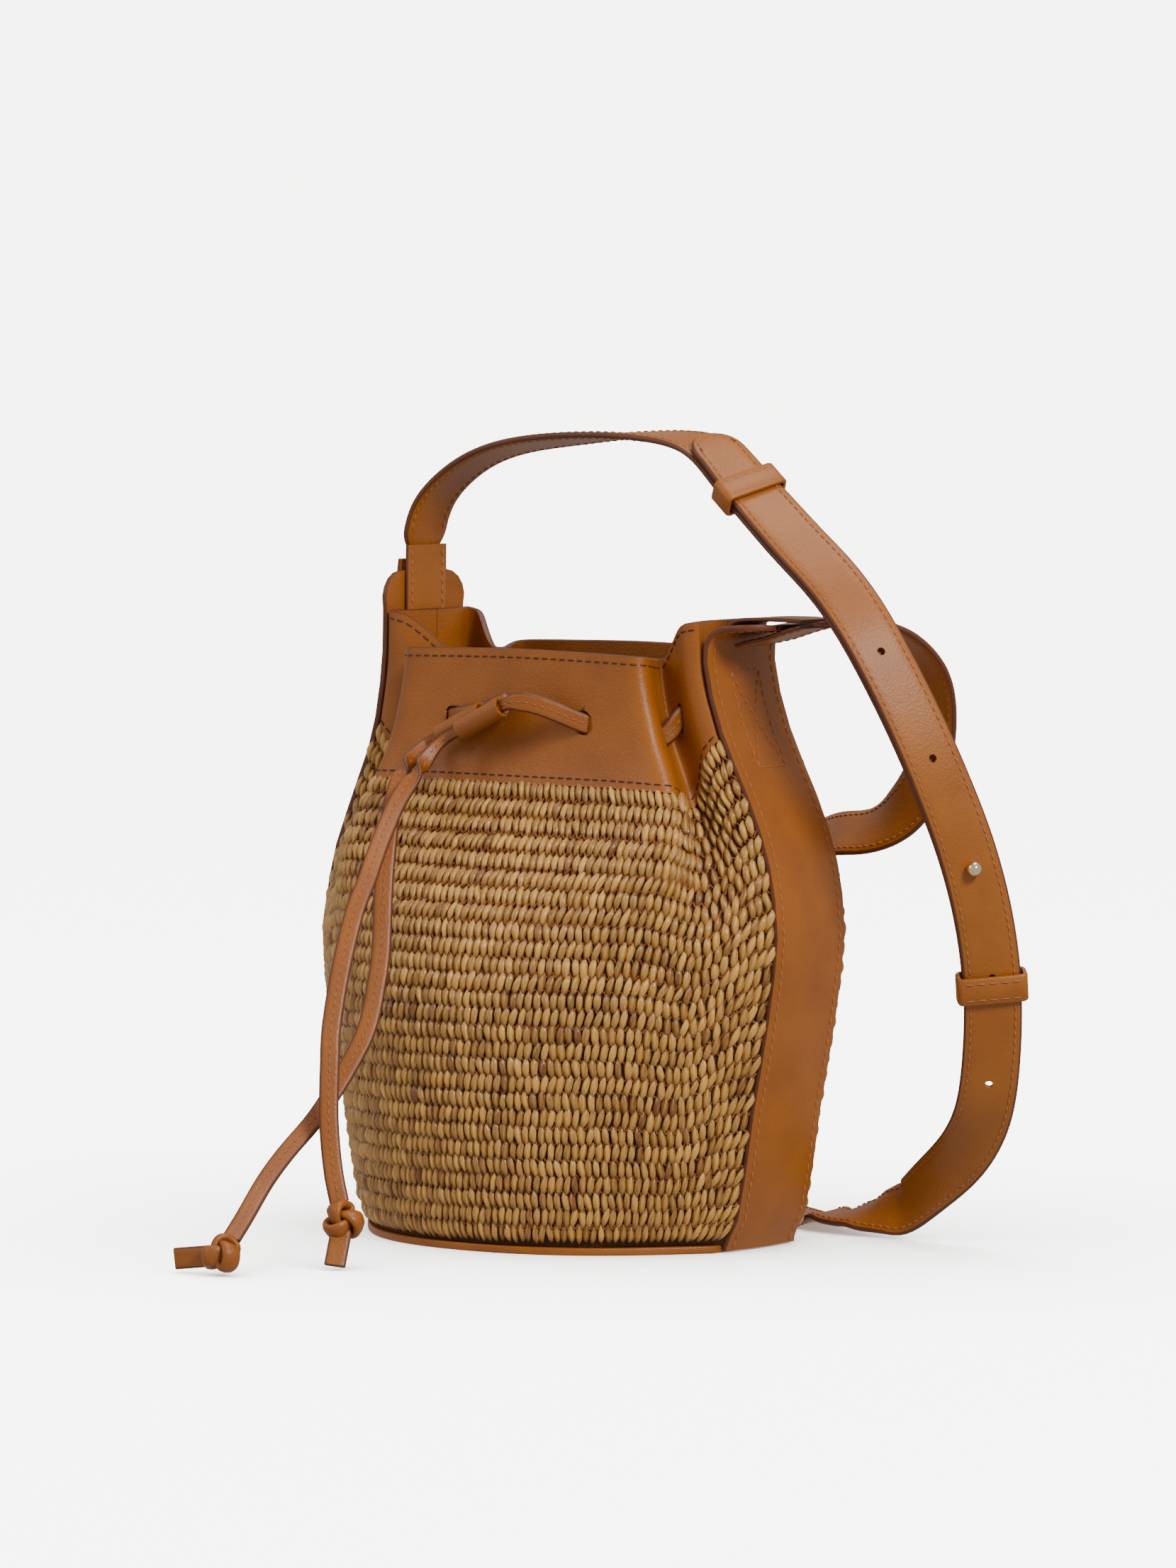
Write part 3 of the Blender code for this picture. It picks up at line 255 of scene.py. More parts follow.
def pleat_plan(z, t, side):
    """Plan of half a panel where the drawstring gathers it: a deep pleat beside the gusset."""
    ax = half_x(z, side) - 0.0012
    by = table(DEPTH_Y, z)
    drop = 0.255 - z
    g = (ax - 0.0012, GUSSET_HALF + GAP)
    bulge = (g[0] - 0.0095, g[1] + 0.0030)
    valley = (ax - 0.0330 - 0.05 * drop, 0.0135 + 0.13 * drop)
    fold = (ax - 0.0185 - 0.02 * drop, by - 0.0010)
    mid = (0.0, by)
    knots = [0.0, T_BULGE, T_VALLEY, T_FOLD, 1.0]
    pts = [g, bulge, valley, fold, mid]

    def straight(u):
        for k in range(4):
            if u <= knots[k + 1] or k == 3:
                f = (u - knots[k]) / (knots[k + 1] - knots[k])
                return tuple(pts[k][i] + f * (pts[k + 1][i] - pts[k][i]) for i in range(2))

    for k, reach in ((1, 0.06), (2, 0.085), (3, 0.095)):
        if abs(t - knots[k]) < reach:
            p0, p2 = straight(knots[k] - reach), straight(knots[k] + reach)
            f = (t - knots[k] + reach) / (2 * reach)
            return tuple((1 - f) ** 2 * p0[i] + 2 * f * (1 - f) * pts[k][i] + f * f * p2[i] for i in range(2))
    return straight(t)


def tab_twist(z, side):
    """How far the left tab's front edge turns outwards, at the gusset's edge."""
    return GUSSET_HALF * math.tan(math.radians(5) * smooth((z - 0.200) / 0.05)) if side < 0 else 0.0


def panel_plan(z, t, side, face):
    """Outer surface of a panel: side +1 right, -1 left; face -1 front, +1 back."""
    k = smooth((z - 0.128) / 0.072)
    o, p = open_plan(z, t, side), pleat_plan(z, t, side)
    x = o[0] + k * (p[0] - o[0])
    y = o[1] + k * (p[1] - o[1])
    x -= face * tab_twist(z, side) * smooth(1 - t / 0.3)
    return side * x, face * y


def collar_bottom(t):
    return table([(0.0, 0.2190), (T_BULGE, 0.2130), (T_VALLEY, 0.1900), (T_FOLD, 0.1975), (0.75, 0.1985), (1.0, 0.1985)], t)


def collar_top(t):
    return table([(0.0, 0.2690), (T_BULGE, 0.2680), (T_VALLEY, 0.2520), (T_FOLD, 0.2540), (0.75, 0.2550), (1.0, 0.2555)], t)


def full_t(u):
    """u from -1 (left gusset edge) to +1 (right gusset edge): the side and the half panel's t."""
    return (1 if u >= 0 else -1), 1 - abs(u)


def panel_point(u, z, face):
    side, t = full_t(u)
    return np.array([*panel_plan(z, t, side, face), z])


# ---------------------------------------------------------------- mesh tools
def make(name, bm, mat, origin=(0, 0, 0)):
    bmesh.ops.remove_doubles(bm, verts=bm.verts, dist=1e-6)
    bmesh.ops.recalc_face_normals(bm, faces=bm.faces)
    me = bpy.data.meshes.new("look_" + name)
    bm.to_mesh(me)
    bm.free()
    me.shade_smooth()
    me.set_sharp_from_angle(angle=math.radians(50))
    me.materials.append(mat)
    me.materials.append(EDGE.get(mat.name, mat))
    ob = bpy.data.objects.new("look_" + name, me)
    PARTS.objects.link(ob)
    PIECE[name] = ob
    return ob


def loft(bm, rings, closed_path=False, cap=True):
    """Skin a row of equal rings; closed_path joins the last ring to the first."""
    rows = [[bm.verts.new(tuple(p)) for p in ring] for ring in rings]
    n = len(rows[0])
    pairs = list(zip(rows, rows[1:])) + ([(rows[-1], rows[0])] if closed_path else [])
    for a, b in pairs:
        for i in range(n):
            j = (i + 1) % n
            bm.faces.new((a[i], a[j], b[j], b[i]))
    if cap and not closed_path:
        bm.faces.new(list(reversed(rows[0])))
        bm.faces.new(rows[-1])
    return rows


def offset_in(line, dist, inward):
    """Move each point of an open plan line by dist along its own normal, towards inward's side."""
    out = []
    for i, p in enumerate(line):
        a = line[max(i - 1, 0)]
        b = line[min(i + 1, len(line) - 1)]
        tx, ty = b[0] - a[0], b[1] - a[1]
        l = math.hypot(tx, ty) or 1.0
        nx, ny = -ty / l * inward, tx / l * inward
        out.append((p[0] + nx * dist, p[1] + ny * dist))
    return out


def slab(name, mat, outer_pts, inner_pts, origin=(0, 0, 0)):
    """A closed sheet from two grids of points; its four edge strips bulge a little and carry the edge paint."""
    bm = bmesh.new()
    O = [[bm.verts.new(tuple(p)) for p in row] for row in outer_pts]
    I = [[bm.verts.new(tuple(p)) for p in row] for row in inner_pts]
    rows, cols = len(O), len(O[0])

    def mids(edge, inward):
        out = []
        for (o, i), (o2, i2) in zip(edge, inward):
            m = (o.co + i.co) / 2
            d = m - (o2.co + i2.co) / 2
            d = d / (d.length or 1.0) * (o.co - i.co).length * 0.22
            out.append(bm.verts.new(m + d))
        return out

    for r in range(rows - 1):
        for c in range(cols - 1):
            bm.faces.new((O[r][c], O[r][c + 1], O[r + 1][c + 1], O[r + 1][c]))
            bm.faces.new((I[r][c + 1], I[r][c], I[r + 1][c], I[r + 1][c + 1]))
    edges = [([(O[0][c], I[0][c]) for c in range(cols)], [(O[1][c], I[1][c]) for c in range(cols)]),
             ([(O[-1][c], I[-1][c]) for c in range(cols)], [(O[-2][c], I[-2][c]) for c in range(cols)]),
             ([(O[r][0], I[r][0]) for r in range(rows)], [(O[r][1], I[r][1]) for r in range(rows)]),
             ([(O[r][-1], I[r][-1]) for r in range(rows)], [(O[r][-2], I[r][-2]) for r in range(rows)])]
    for edge, inward in edges:
        m = mids(edge, inward)
        for k in range(len(edge) - 1):
            for x, y in ((0, None), (None, 1)):
                if x == 0:
                    f = bm.faces.new((edge[k][0], edge[k + 1][0], m[k + 1], m[k]))
                else:
                    f = bm.faces.new((m[k], m[k + 1], edge[k + 1][1], edge[k][1]))
                f.material_index = 1
    return make(name, bm, mat, origin)


def shell(name, mat, us, vs, point, thick, square_ends=False):
    """A sheet of points point(u, v), thickened inward along its plan normals."""
    outer, inner = [], []
    for v in vs:
        line = [point(u, v) for u in us]
        mid, ahead = line[len(line) // 2], line[len(line) // 2 + 1]
        tx, ty = ahead[0] - mid[0], ahead[1] - mid[1]
        side = 1 if (ty * mid[0] - tx * mid[1]) > 0 else -1
        inside = offset_in([(p[0], p[1]) for p in line], thick, side)
        if square_ends:
            for k in (0, -1):
                inside[k] = (line[k][0] - math.copysign(thick, line[k][0]), line[k][1])
        outer.append(line)
        inner.append([(q[0], q[1], p[2]) for q, p in zip(inside, line)])
    return slab(name, mat, outer, inner)


def spread(a, b, n):
    return [a + (b - a) * i / (n - 1) for i in range(n)]


def catmull(pts, per):
    """Points along a centripetal-like smooth curve through pts (rows of any length)."""
    pts = [np.array(p, float) for p in pts]
    ext = [2 * pts[0] - pts[1]] + pts + [2 * pts[-1] - pts[-2]]
    out = []
    for i in range(1, len(ext) - 2):
        p0, p1, p2, p3 = ext[i - 1:i + 3]
        for k in range(per):
            t = k / per
            out.append(0.5 * (2 * p1 + (p2 - p0) * t + (2 * p0 - 5 * p1 + 4 * p2 - p3) * t * t
                              + (3 * p1 - p0 - 3 * p2 + p3) * t ** 3))
    out.append(pts[-1])
    return np.array(out)


def resample(rows, count, cols=3):
    """Equal steps along the first three columns."""
    d = np.linalg.norm(np.diff(rows[:, :cols], axis=0), axis=1)
    s = np.concatenate([[0], np.cumsum(d)])
    want = np.linspace(0, s[-1], count)
    return np.array([[np.interp(w, s, rows[:, c]) for c in range(rows.shape[1])] for w in want]), s[-1]


def ease(rows, rounds):
    """Relax a route a little, keeping its ends."""
    rows = rows.copy()
    for _ in range(rounds):
        rows[1:-1] = 0.25 * rows[:-2] + 0.5 * rows[1:-1] + 0.25 * rows[2:]
    return rows


def frames(rows):
    """Centres, tangents, width directions and face normals of a ribbon; columns 3:6 hint at the width."""
    c = rows[:, :3]
    t = np.gradient(c, axis=0)
    t /= np.linalg.norm(t, axis=1)[:, None]
    w = rows[:, 3:6] - (rows[:, 3:6] * t).sum(1)[:, None] * t
    w /= np.linalg.norm(w, axis=1)[:, None]
    return c, t, w, np.cross(t, w)


def ribbon(name, mat, rows, width, thick, lift=0.0, round_start=False, round_end=False, origin=(0, 0, 0)):
    """A flat strap along rows with rounded, painted edges."""
    width = np.array(width if np.ndim(width) else [width] * len(rows), float)
    n0 = len(rows)
    fine_rows, _ = resample(catmull(list(np.column_stack([rows, width])), 5), max(12, int(len(rows) * 3.5)))
    rows, width = fine_rows[:, :6], fine_rows[:, 6]
    c, t, w, n = frames(rows)
    c = c + n * lift
    s = np.concatenate([[0], np.cumsum(np.linalg.norm(np.diff(c, axis=0), axis=1))])
    extra = []
    if round_start:
        extra += [width[0] / 2 * (1 - math.cos(math.radians(a))) for a in range(6, 90, 8)]
    rings = []
    bm = bmesh.new()
    for i in range(len(rows)):
        hw = width[i] / 2
        if round_start and s[i] < hw:
            hw = max(0.10 * hw, math.sqrt(max(0.0, hw * hw - (hw - s[i]) ** 2)))
        if round_end and s[-1] - s[i] < width[i] / 2:
            hw = max(0.10 * hw, math.sqrt(max(0.0, hw * hw - (hw - (s[-1] - s[i])) ** 2)))
        h = thick / 2
        e = min(h * 0.75, hw * 0.5)
        sec = [(-hw, 0), (-hw + e * 0.22, -h * 0.62), (-hw + e, -h), (-hw * 0.5, -h), (0, -h), (hw * 0.5, -h), (hw - e, -h), (hw - e * 0.22, -h * 0.62),
               (hw, 0), (hw - e * 0.22, h * 0.62), (hw - e, h), (hw * 0.5, h), (0, h), (-hw * 0.5, h), (-hw + e, h), (-hw + e * 0.22, h * 0.62)]
        rings.append([c[i] + w[i] * x + n[i] * y for x, y in sec])
    ring_verts = [[bm.verts.new(tuple(p)) for p in ring] for ring in rings]
    m = len(ring_verts[0])
    for a_, b_ in zip(ring_verts, ring_verts[1:]):
        for i in range(m):
            j = (i + 1) % m
            f = bm.faces.new((a_[i], a_[j], b_[j], b_[i]))
            if i in (0, 1, 6, 7, 8, 9, 14, 15):
                f.material_index = 1
    for ends in (list(reversed(ring_verts[0])), ring_verts[-1]):
        f = bm.faces.new(ends)
        f.material_index = 1
    ob = make(name, bm, mat, origin)
    FRAMES[name] = (c, t, w, n, width, thick)
    return ob


def boolean_cut(ob, cutters):
    for k, c in enumerate(cutters):
        m = ob.modifiers.new("cut%d" % k, "BOOLEAN")
        m.operation = "DIFFERENCE"
        m.solver = "EXACT"
        m.object = c


def cutter_tube(name, centre, along, width_dir, half_w, half_h, length, sides=12):
    """An oval punch: a cylinder primitive scaled to an oval and turned along its axis."""
    bm = bmesh.new()
    bmesh.ops.create_cone(bm, cap_ends=True, segments=sides, radius1=1.0, radius2=1.0, depth=length)
    a = np.array(along, float)
    a /= np.linalg.norm(a)
    w = np.array(width_dir, float)
    w -= w.dot(a) * a
    w /= np.linalg.norm(w)
    h = np.cross(a, w)
    for v in bm.verts:
        p = np.array(centre) + w * v.co.x * half_w + h * v.co.y * half_h + a * v.co.z
        v.co = tuple(p)
    bm.normal_update()
    if bm.calc_volume(signed=True) < 0:
        bmesh.ops.reverse_faces(bm, faces=bm.faces)
    me = bpy.data.meshes.new(name)
    bm.to_mesh(me)
    bm.free()
    ob = bpy.data.objects.new(name, me)
    ob.hide_render = True
    ob.display_type = "WIRE"
    CUTTERS.objects.link(ob)
    return ob


def loop_frame(s, d, z):
    """Point given across (s) and along (d) the strap loop's heading, and up (z), in metres."""
    return np.array([s * math.cos(V_ANGLE) + d * math.sin(V_ANGLE), s * math.sin(V_ANGLE) - d * math.cos(V_ANGLE), z])


def route(points):
    """Rows of (s, d, z, ws, wd, wz) in millimetres to world centre and width direction."""
    out = []
    for s, d, z, ws, wd, wz in points:
        c = loop_frame(s / 1000, d / 1000, z / 1000)
        w = loop_frame(ws, wd, wz)
        out.append([*c, *(w / np.linalg.norm(w))])
    return out


# ---------------------------------------------------------------- the bag
PARTS = bpy.data.collections.new("looks")
CUTTERS = bpy.data.collections.new("cutters")
CUTTERS.hide_render = True
bpy.context.scene.collection.children.link(PARTS)
bpy.context.scene.collection.children.link(CUTTERS)

def leather(name, rgb, dark, rough, grain=1.0, scale=900.0):
    """Tanned leather: slow colour drift, a fine pebbled grain and small pores."""
    m = plain(name, rgb, rough)
    nt = m.node_tree
    b = nt.nodes["Principled BSDF"]
    b.inputs["Specular IOR Level"].default_value = 0.45
    tc = nt.nodes.new("ShaderNodeTexCoord")
    n1 = nt.nodes.new("ShaderNodeTexNoise")
    n1.inputs["Scale"].default_value = 38.0
    n1.inputs["Detail"].default_value = 6.0
    mix = nt.nodes.new("ShaderNodeMix")
    mix.data_type = "RGBA"
    mix.inputs["A"].default_value = (*dark, 1)
    mix.inputs["B"].default_value = (*rgb, 1)
    ramp = nt.nodes.new("ShaderNodeMapRange")
    ramp.inputs["From Min"].default_value = 0.30
    ramp.inputs["From Max"].default_value = 0.62
    v = nt.nodes.new("ShaderNodeTexVoronoi")
    v.inputs["Scale"].default_value = scale
    n2 = nt.nodes.new("ShaderNodeTexNoise")
    n2.inputs["Scale"].default_value = scale * 0.35
    n2.inputs["Detail"].default_value = 4.0
    add = nt.nodes.new("ShaderNodeMath")
    add.operation = "ADD"
    bump = nt.nodes.new("ShaderNodeBump")
    bump.inputs["Strength"].default_value = 0.22 * grain
    bump.inputs["Distance"].default_value = 0.0004
    l = nt.links.new
    for t in (n1, v, n2):
        l(tc.outputs["Object"], t.inputs["Vector"])
    l(n1.outputs["Fac"], ramp.inputs["Value"])
    l(ramp.outputs["Result"], mix.inputs["Factor"])
    l(mix.outputs["Result"], b.inputs["Base Color"])
    l(v.outputs["Distance"], add.inputs[0])
    l(n2.outputs["Fac"], add.inputs[1])
    l(add.outputs[0], bump.inputs["Height"])
    l(bump.outputs["Normal"], b.inputs["Normal"])
    return m


def toned(name, light, dark, rough, coat=0.0):
    """Straw: the colour runs from dark to light by the mesh's own per-vertex attribute, a random tone plus, on the
    grains, painted shade and painted highlight, with fine lengthwise fibres.
    """
    m = plain(name, light, rough)
    nt = m.node_tree
    b = nt.nodes["Principled BSDF"]
    b.inputs["Coat Weight"].default_value = coat
    at = nt.nodes.new("ShaderNodeAttribute")
    at.attribute_name = "tone_and_shading"
    tc = nt.nodes.new("ShaderNodeTexCoord")
    mp = nt.nodes.new("ShaderNodeMapping")
    mp.inputs["Scale"].default_value = (1700.0, 1700.0, 260.0)
    n = nt.nodes.new("ShaderNodeTexNoise")
    n.inputs["Scale"].default_value = 1.0
    n.inputs["Detail"].default_value = 3.0
    mul = nt.nodes.new("ShaderNodeMath")
    mul.operation = "MULTIPLY_ADD"
    mul.inputs[1].default_value = 0.55
    mix = nt.nodes.new("ShaderNodeMix")
    mix.data_type = "RGBA"
    mix.inputs["A"].default_value = (*dark, 1)
    mix.inputs["B"].default_value = (*light, 1)
    sub = nt.nodes.new("ShaderNodeMath")
    sub.operation = "SUBTRACT"
    sub.inputs[1].default_value = 0.27
    bump = nt.nodes.new("ShaderNodeBump")
    bump.inputs["Strength"].default_value = 0.8
    bump.inputs["Distance"].default_value = 0.0005
    l = nt.links.new
    l(tc.outputs["Object"], mp.inputs["Vector"])
    l(mp.outputs["Vector"], n.inputs["Vector"])
    l(n.outputs["Fac"], mul.inputs[0])
    l(at.outputs["Fac"], mul.inputs[2])
    l(mul.outputs[0], sub.inputs[0])
    l(sub.outputs[0], mix.inputs["Factor"])
    l(mix.outputs["Result"], b.inputs["Base Color"])
    l(n.outputs["Fac"], bump.inputs["Height"])
    l(bump.outputs["Normal"], b.inputs["Normal"])
    return m


M = {
    # the weave's under-sheet is near-black: painted shade that shows in the gaps between the straw grains
    "weave": plain("raffia_gap_shade", (0.055, 0.018, 0.003), 0.85),
    "leather": leather("leather_body", (0.325, 0.092, 0.0048), (0.265, 0.070, 0.0034), 0.46),
    "strap": leather("leather_strap", (0.345, 0.103, 0.0080), (0.285, 0.080, 0.0055), 0.46),
    "thong": leather("leather_thong", (0.30, 0.086, 0.007), (0.24, 0.064, 0.005), 0.43),
    "lining": leather("cotton_lining", (0.42, 0.29, 0.17), (0.34, 0.22, 0.12), 0.9, 0.8, 1600.0),
    "board": plain("board_fibre", (0.26, 0.14, 0.07), 0.85),
    "metal": plain("metal_gold", (0.86, 0.72, 0.48), 0.13, 1.0),
}
EDGE_PAINT = leather("edge_paint", (0.135, 0.034, 0.010), (0.105, 0.027, 0.008), 0.48, 0.5, 500.0)
for k in ("leather", "strap", "thong"):
    EDGE[M[k].name] = EDGE_PAINT
STRAW = toned("raffia_straw", (0.68, 0.355, 0.078), (0.18, 0.058, 0.008), 0.32, 0.2)
CORD = toned("raffia_cord", (0.30, 0.095, 0.010), (0.14, 0.040, 0.005), 0.55)
THREAD_DARK = plain("thread_dark", (0.06, 0.016, 0.006), 0.6)
THREAD_PINK = plain("thread_tan", (0.36, 0.125, 0.04), 0.6)
# near-black painted shade meant for the mouth and the holes
HOLE_DARK = plain("mouth_hole_shade", (0.09, 0.030, 0.014), 0.6)

# Woven panels and collar bands
for face, nm in ((-1, "front"), (1, "back")):
    def us_of(n_pleat, n_flat):
        half = spread(0.0, T_BULGE, 4) + spread(T_BULGE, T_VALLEY, n_pleat)[1:] + spread(T_VALLEY, T_FOLD + 0.1, n_pleat)[1:] + spread(T_FOLD + 0.1, 1.0, n_flat)[1:]
        right = [1 - t for t in half]
        return [-u for u in right] + list(reversed(right))[1:]

    def weave_pt(u, v, face=face):
        t = full_t(u)[1]
        z = BASE_T + GAP + (collar_bottom(t) - 0.0012 - BASE_T - GAP) * v
        return panel_point(u, z, face)

    def weave_in(u, v, face=face):
        p = weave_pt(u, v)
        d = weave_pt(min(1.0, u + 0.004), v) - weave_pt(max(-1.0, u - 0.004), v)
        nn = np.array([d[1], -d[0], 0.0])
        nn /= np.linalg.norm(nn)
        if nn[1] * face < 0 and abs(nn[1]) > 0.2 or (abs(nn[1]) <= 0.2 and nn[0] * p[0] < 0):
            nn = -nn
        return p - nn * 0.0014

    shell(nm + "_weave", M["weave"], us_of(24, 20), spread(0.0, 1.0, 46), weave_in, WEAVE_T - 0.0014, True)


    def collar_pt(u, v, face=face):
        """Collar: |u| up to 1 is the panel, beyond 1 it runs on inside the gusset to the side seam."""
        side = 1 if u >= 0 else -1
        if abs(u) <= 1.0:
            t = 1 - abs(u)
            z = collar_bottom(t) + (collar_top(t) - collar_bottom(t)) * v
            x, y = panel_plan(z, t, side, face)
            ramp = smooth((0.05 - t) / 0.05) * 0.0026
            return np.array([x - side * ramp, y, z])
        z = collar_bottom(0.0) + (collar_top(0.0) - collar_bottom(0.0)) * v
        f = (abs(u) - 1.0)
        gx, gy = panel_plan(z, 0.0, side, face)
        y = abs(gy) * (1 - f) + 0.00015 * f
        deep = 0.0026 + 0.0028 * smooth((f - 0.05) / 0.35)
        return np.array([gx - side * deep + side * face * tab_twist(z, side) * f, face * y, z])

    inner = us_of(24, 20)
    tuck = [1.12, 1.25, 1.4, 1.6, 2.0]
    ob = shell(nm + "_collar", M["leather"], [-u for u in reversed(tuck)] + inner + tuck, spread(0.0, 1.0, 22), collar_pt, COLLAR_T)


# Gussets with their tabs: the left tab stands up, the right one bends outwards
def gusset_line(side):
    """Outer centre line in (x, z) with its step direction, from the floor to the tab's end."""
    line = [(half_x(z, side), z) for z in (0.0006, 0.006, 0.014, 0.035, 0.060, 0.080, 0.100, 0.118, 0.136, 0.152, 0.166, 0.180, 0.195, 0.209, 0.223, 0.238, 0.252)]
    if side > 0:
        x0, z0, r = line[-1][0], line[-1][1], 0.0085
        for k in range(1, 7):
            a = math.radians(86) * k / 6
            line.append((x0 + r * (1 - math.cos(a)), z0 + 0.004 + r * math.sin(a)))
        x1, z1 = line[-1]
        for e in (0.006, 0.0095, 0.0125, 0.0155, 0.0180, 0.0195):
            line.append((x1 + e * math.cos(math.radians(4)), z1 + e * math.sin(math.radians(4))))
    else:
        for z in (0.262, 0.270, 0.2755, 0.2795, 0.2830, 0.2855, 0.2865):
            line.append((half_x(z, side), z))
    return line


def gusset_grid(side):
    line = gusset_line(side)
    run = [0.0]
    for a, b in zip(line, line[1:]):
        run.append(run[-1] + math.hypot(b[0] - a[0], b[1] - a[1]))
    outer, inner = [], []
    corner = 0.012
    for i, (x, z) in enumerate(line):
        a, b = line[max(i - 1, 0)], line[min(i + 1, len(line) - 1)]
        tx, tz = b[0] - a[0], b[1] - a[1]
        l = math.hypot(tx, tz)
        nx, nz = tz / l, -tx / l
        left = run[-1] - run[i]
        hw = GUSSET_HALF
        if left < corner:
            hw = GUSSET_HALF - corner + math.sqrt(max(0.0, corner ** 2 - (corner - left) ** 2)) + 0.0006
        twist = math.radians(5) * smooth((z - 0.200) / 0.05) if side < 0 else 0.0
        ro, ri = [], []
        for f in (-1, -0.9, -0.75, -0.5, -0.25, 0, 0.25, 0.5, 0.75, 0.9, 1):
            y = f * hw
            dip = 0.0012 * (y / GUSSET_HALF) ** 2
            ox = x - nx * dip - y * math.tan(twist)
            oz = z - nz * dip
            ro.append((side * ox, y, oz))
            ri.append((side * (ox - nx * GUSSET_T), y, oz - nz * GUSSET_T))
        outer.append(ro)
        inner.append(ri)
    return outer, inner


for side, nm in ((-1, "left"), (1, "right")):
    outer, inner = gusset_grid(side)
    slab(nm + "_gusset", M["leather"], outer, inner)

# Base: leather panel and stiffener, as flat outlines
def outline(name, mat, pts, z0, z1):
    cu = bpy.data.curves.new(name, "CURVE")
    cu.dimensions = "2D"
    cu.fill_mode = "BOTH"
    cu.extrude = (z1 - z0) / 2
    sp = cu.splines.new("POLY")
    sp.points.add(len(pts) - 1)
    for q, p in zip(sp.points, pts):
        q.co = (p[0], p[1], 0.0, 1.0)
    sp.use_cyclic_u = True
    cu.materials.append(mat)
    cu.bevel_depth = min(0.0007, (z1 - z0) * 0.3)
    cu.extrude -= cu.bevel_depth
    cu.bevel_resolution = 2
    ob = bpy.data.objects.new("look_" + name, cu)
    ob.location = (0, 0, (z0 + z1) / 2)
    PARTS.objects.link(ob)
    PIECE[name] = ob
    return ob


def floor_outline(z, grow, end_x):
    """Plan of the base: the two panels' lines grown outwards, with straight ends inside the gussets."""
    pts = []
    for face in (-1, 1):
        us = spread(-1, 1, 33) if face < 0 else spread(1, -1, 33)
        line = [panel_point(u, z, face) for u in us]
        pl = offset_in([(p[0], p[1]) for p in line], abs(grow), -1 if grow > 0 else 1)
        pl = [(max(-end_x, min(end_x, p[0])), p[1]) for p in pl]
        pts += pl
    return pts


outline("base_panel", M["leather"], floor_outline(BASE_T, 0.0004, 0.0941), 0.0, BASE_T)
outline("base_board", M["board"], floor_outline(BASE_T, -0.0060, 0.0895), BASE_T + GAP, BASE_T + GAP + BOARD_T)

# Lining: an open cup inside the panels and gussets
def lining_ring(v, extra):
    pts = []
    z0 = BASE_T + BOARD_T + 3 * GAP
    for face in (-1, 1):
        us = spread(-1, -1 + T_BULGE, 3) + spread(-1 + T_BULGE, -1 + T_VALLEY, 7)[1:] + spread(-1 + T_VALLEY, -1 + T_FOLD + 0.1, 7)[1:] + spread(-1 + T_FOLD + 0.1, 0, 6)[1:]
        us = us + [-u for u in reversed(us[:-1])]
        if face > 0:
            us = list(reversed(us))
        line = []
        for u in us:
            t = 1 - abs(u)
            z = z0 + (collar_bottom(t) - 0.020 - z0) * v
            line.append(panel_point(u, z, face))
        inside = offset_in([(p[0], p[1]) for p in line], WEAVE_T + 0.0016 + extra, 1)
        for k in (0, -1):
            inside[k] = (line[k][0] - math.copysign(WEAVE_T + 0.0018 + extra, line[k][0]), line[k][1] - face * 0.0035)
        pts += [(q[0], q[1], p[2]) for q, p in zip(inside, line)]
    return pts


bm = bmesh.new()
steps = spread(0.0, 1.0, 16)
rings = [lining_ring(v, 0.0) for v in steps] + [lining_ring(v, LINING_T) for v in reversed(steps[1:])]
lowest = lining_ring(0.0, LINING_T)
rings.append([(p[0], p[1], p[2] + LINING_T) for p in lowest])
loft(bm, rings)
make("lining", bm, M["lining"])

# Strap roots: two plies fork over each tab
PIVOT_L = np.array([-0.0889, 0.0, 0.3050])
PIVOT_R = np.array([0.1290, 0.0, 0.2690])
LEAN = math.radians(5)
WL = (math.sin(LEAN), math.cos(LEAN), 0.0)


def world_rows(points, w):
    return [[*p, *w] for p in points]


def fine(rows, count, rounds=4):
    r, _ = resample(catmull(rows, 12), count * 3)
    r = ease(r, rounds)
    return resample(r, count)[0]


left_in = world_rows([(-0.0902, 0, 0.2290), (-0.0882, 0, 0.2400), (-0.0868, 0, 0.2500), (-0.0863, 0, 0.2700), (-0.0862, 0, 0.2850), (-0.0861, 0, 0.2975)], WL)
ribbon("strap_ply_left_inner", M["strap"], fine(left_in, 10), STRAP_W, PLY_T)
left_out = world_rows([(-0.0918, 0, 0.2560), (-0.0915, 0, 0.2700), (-0.0914, 0, 0.2800), (-0.0910, 0, 0.2870), (-0.0904, 0, 0.2912)], WL)
ribbon("strap_ply_left_outer", M["strap"], fine(left_out, 8), STRAP_W, PLY_T)
WR = (0.0, 1.0, 0.0)
right_in = world_rows([(0.0905, 0, 0.2250), (0.0880, 0, 0.2330), (0.0850, 0, 0.2450), (0.0846, 0, 0.2560), (0.0866, 0, 0.2635), (0.0915, 0, 0.2690),
                       (0.0990, 0, 0.2702), (0.1100, 0, 0.2706), (0.1190, 0, 0.2706), (0.1280, 0, 0.2702)], WR)
ribbon("strap_ply_right_inner", M["strap"], fine(right_in, 18), STRAP_W, PLY_T)
right_out = world_rows([(0.0932, 0, 0.2590), (0.0990, 0, 0.2606), (0.1080, 0, 0.2624), (0.1180, 0, 0.2655), (0.1280, 0, 0.2680)], WR)
ribbon("strap_ply_right_outer", M["strap"], fine(right_out, 8), STRAP_W, PLY_T)

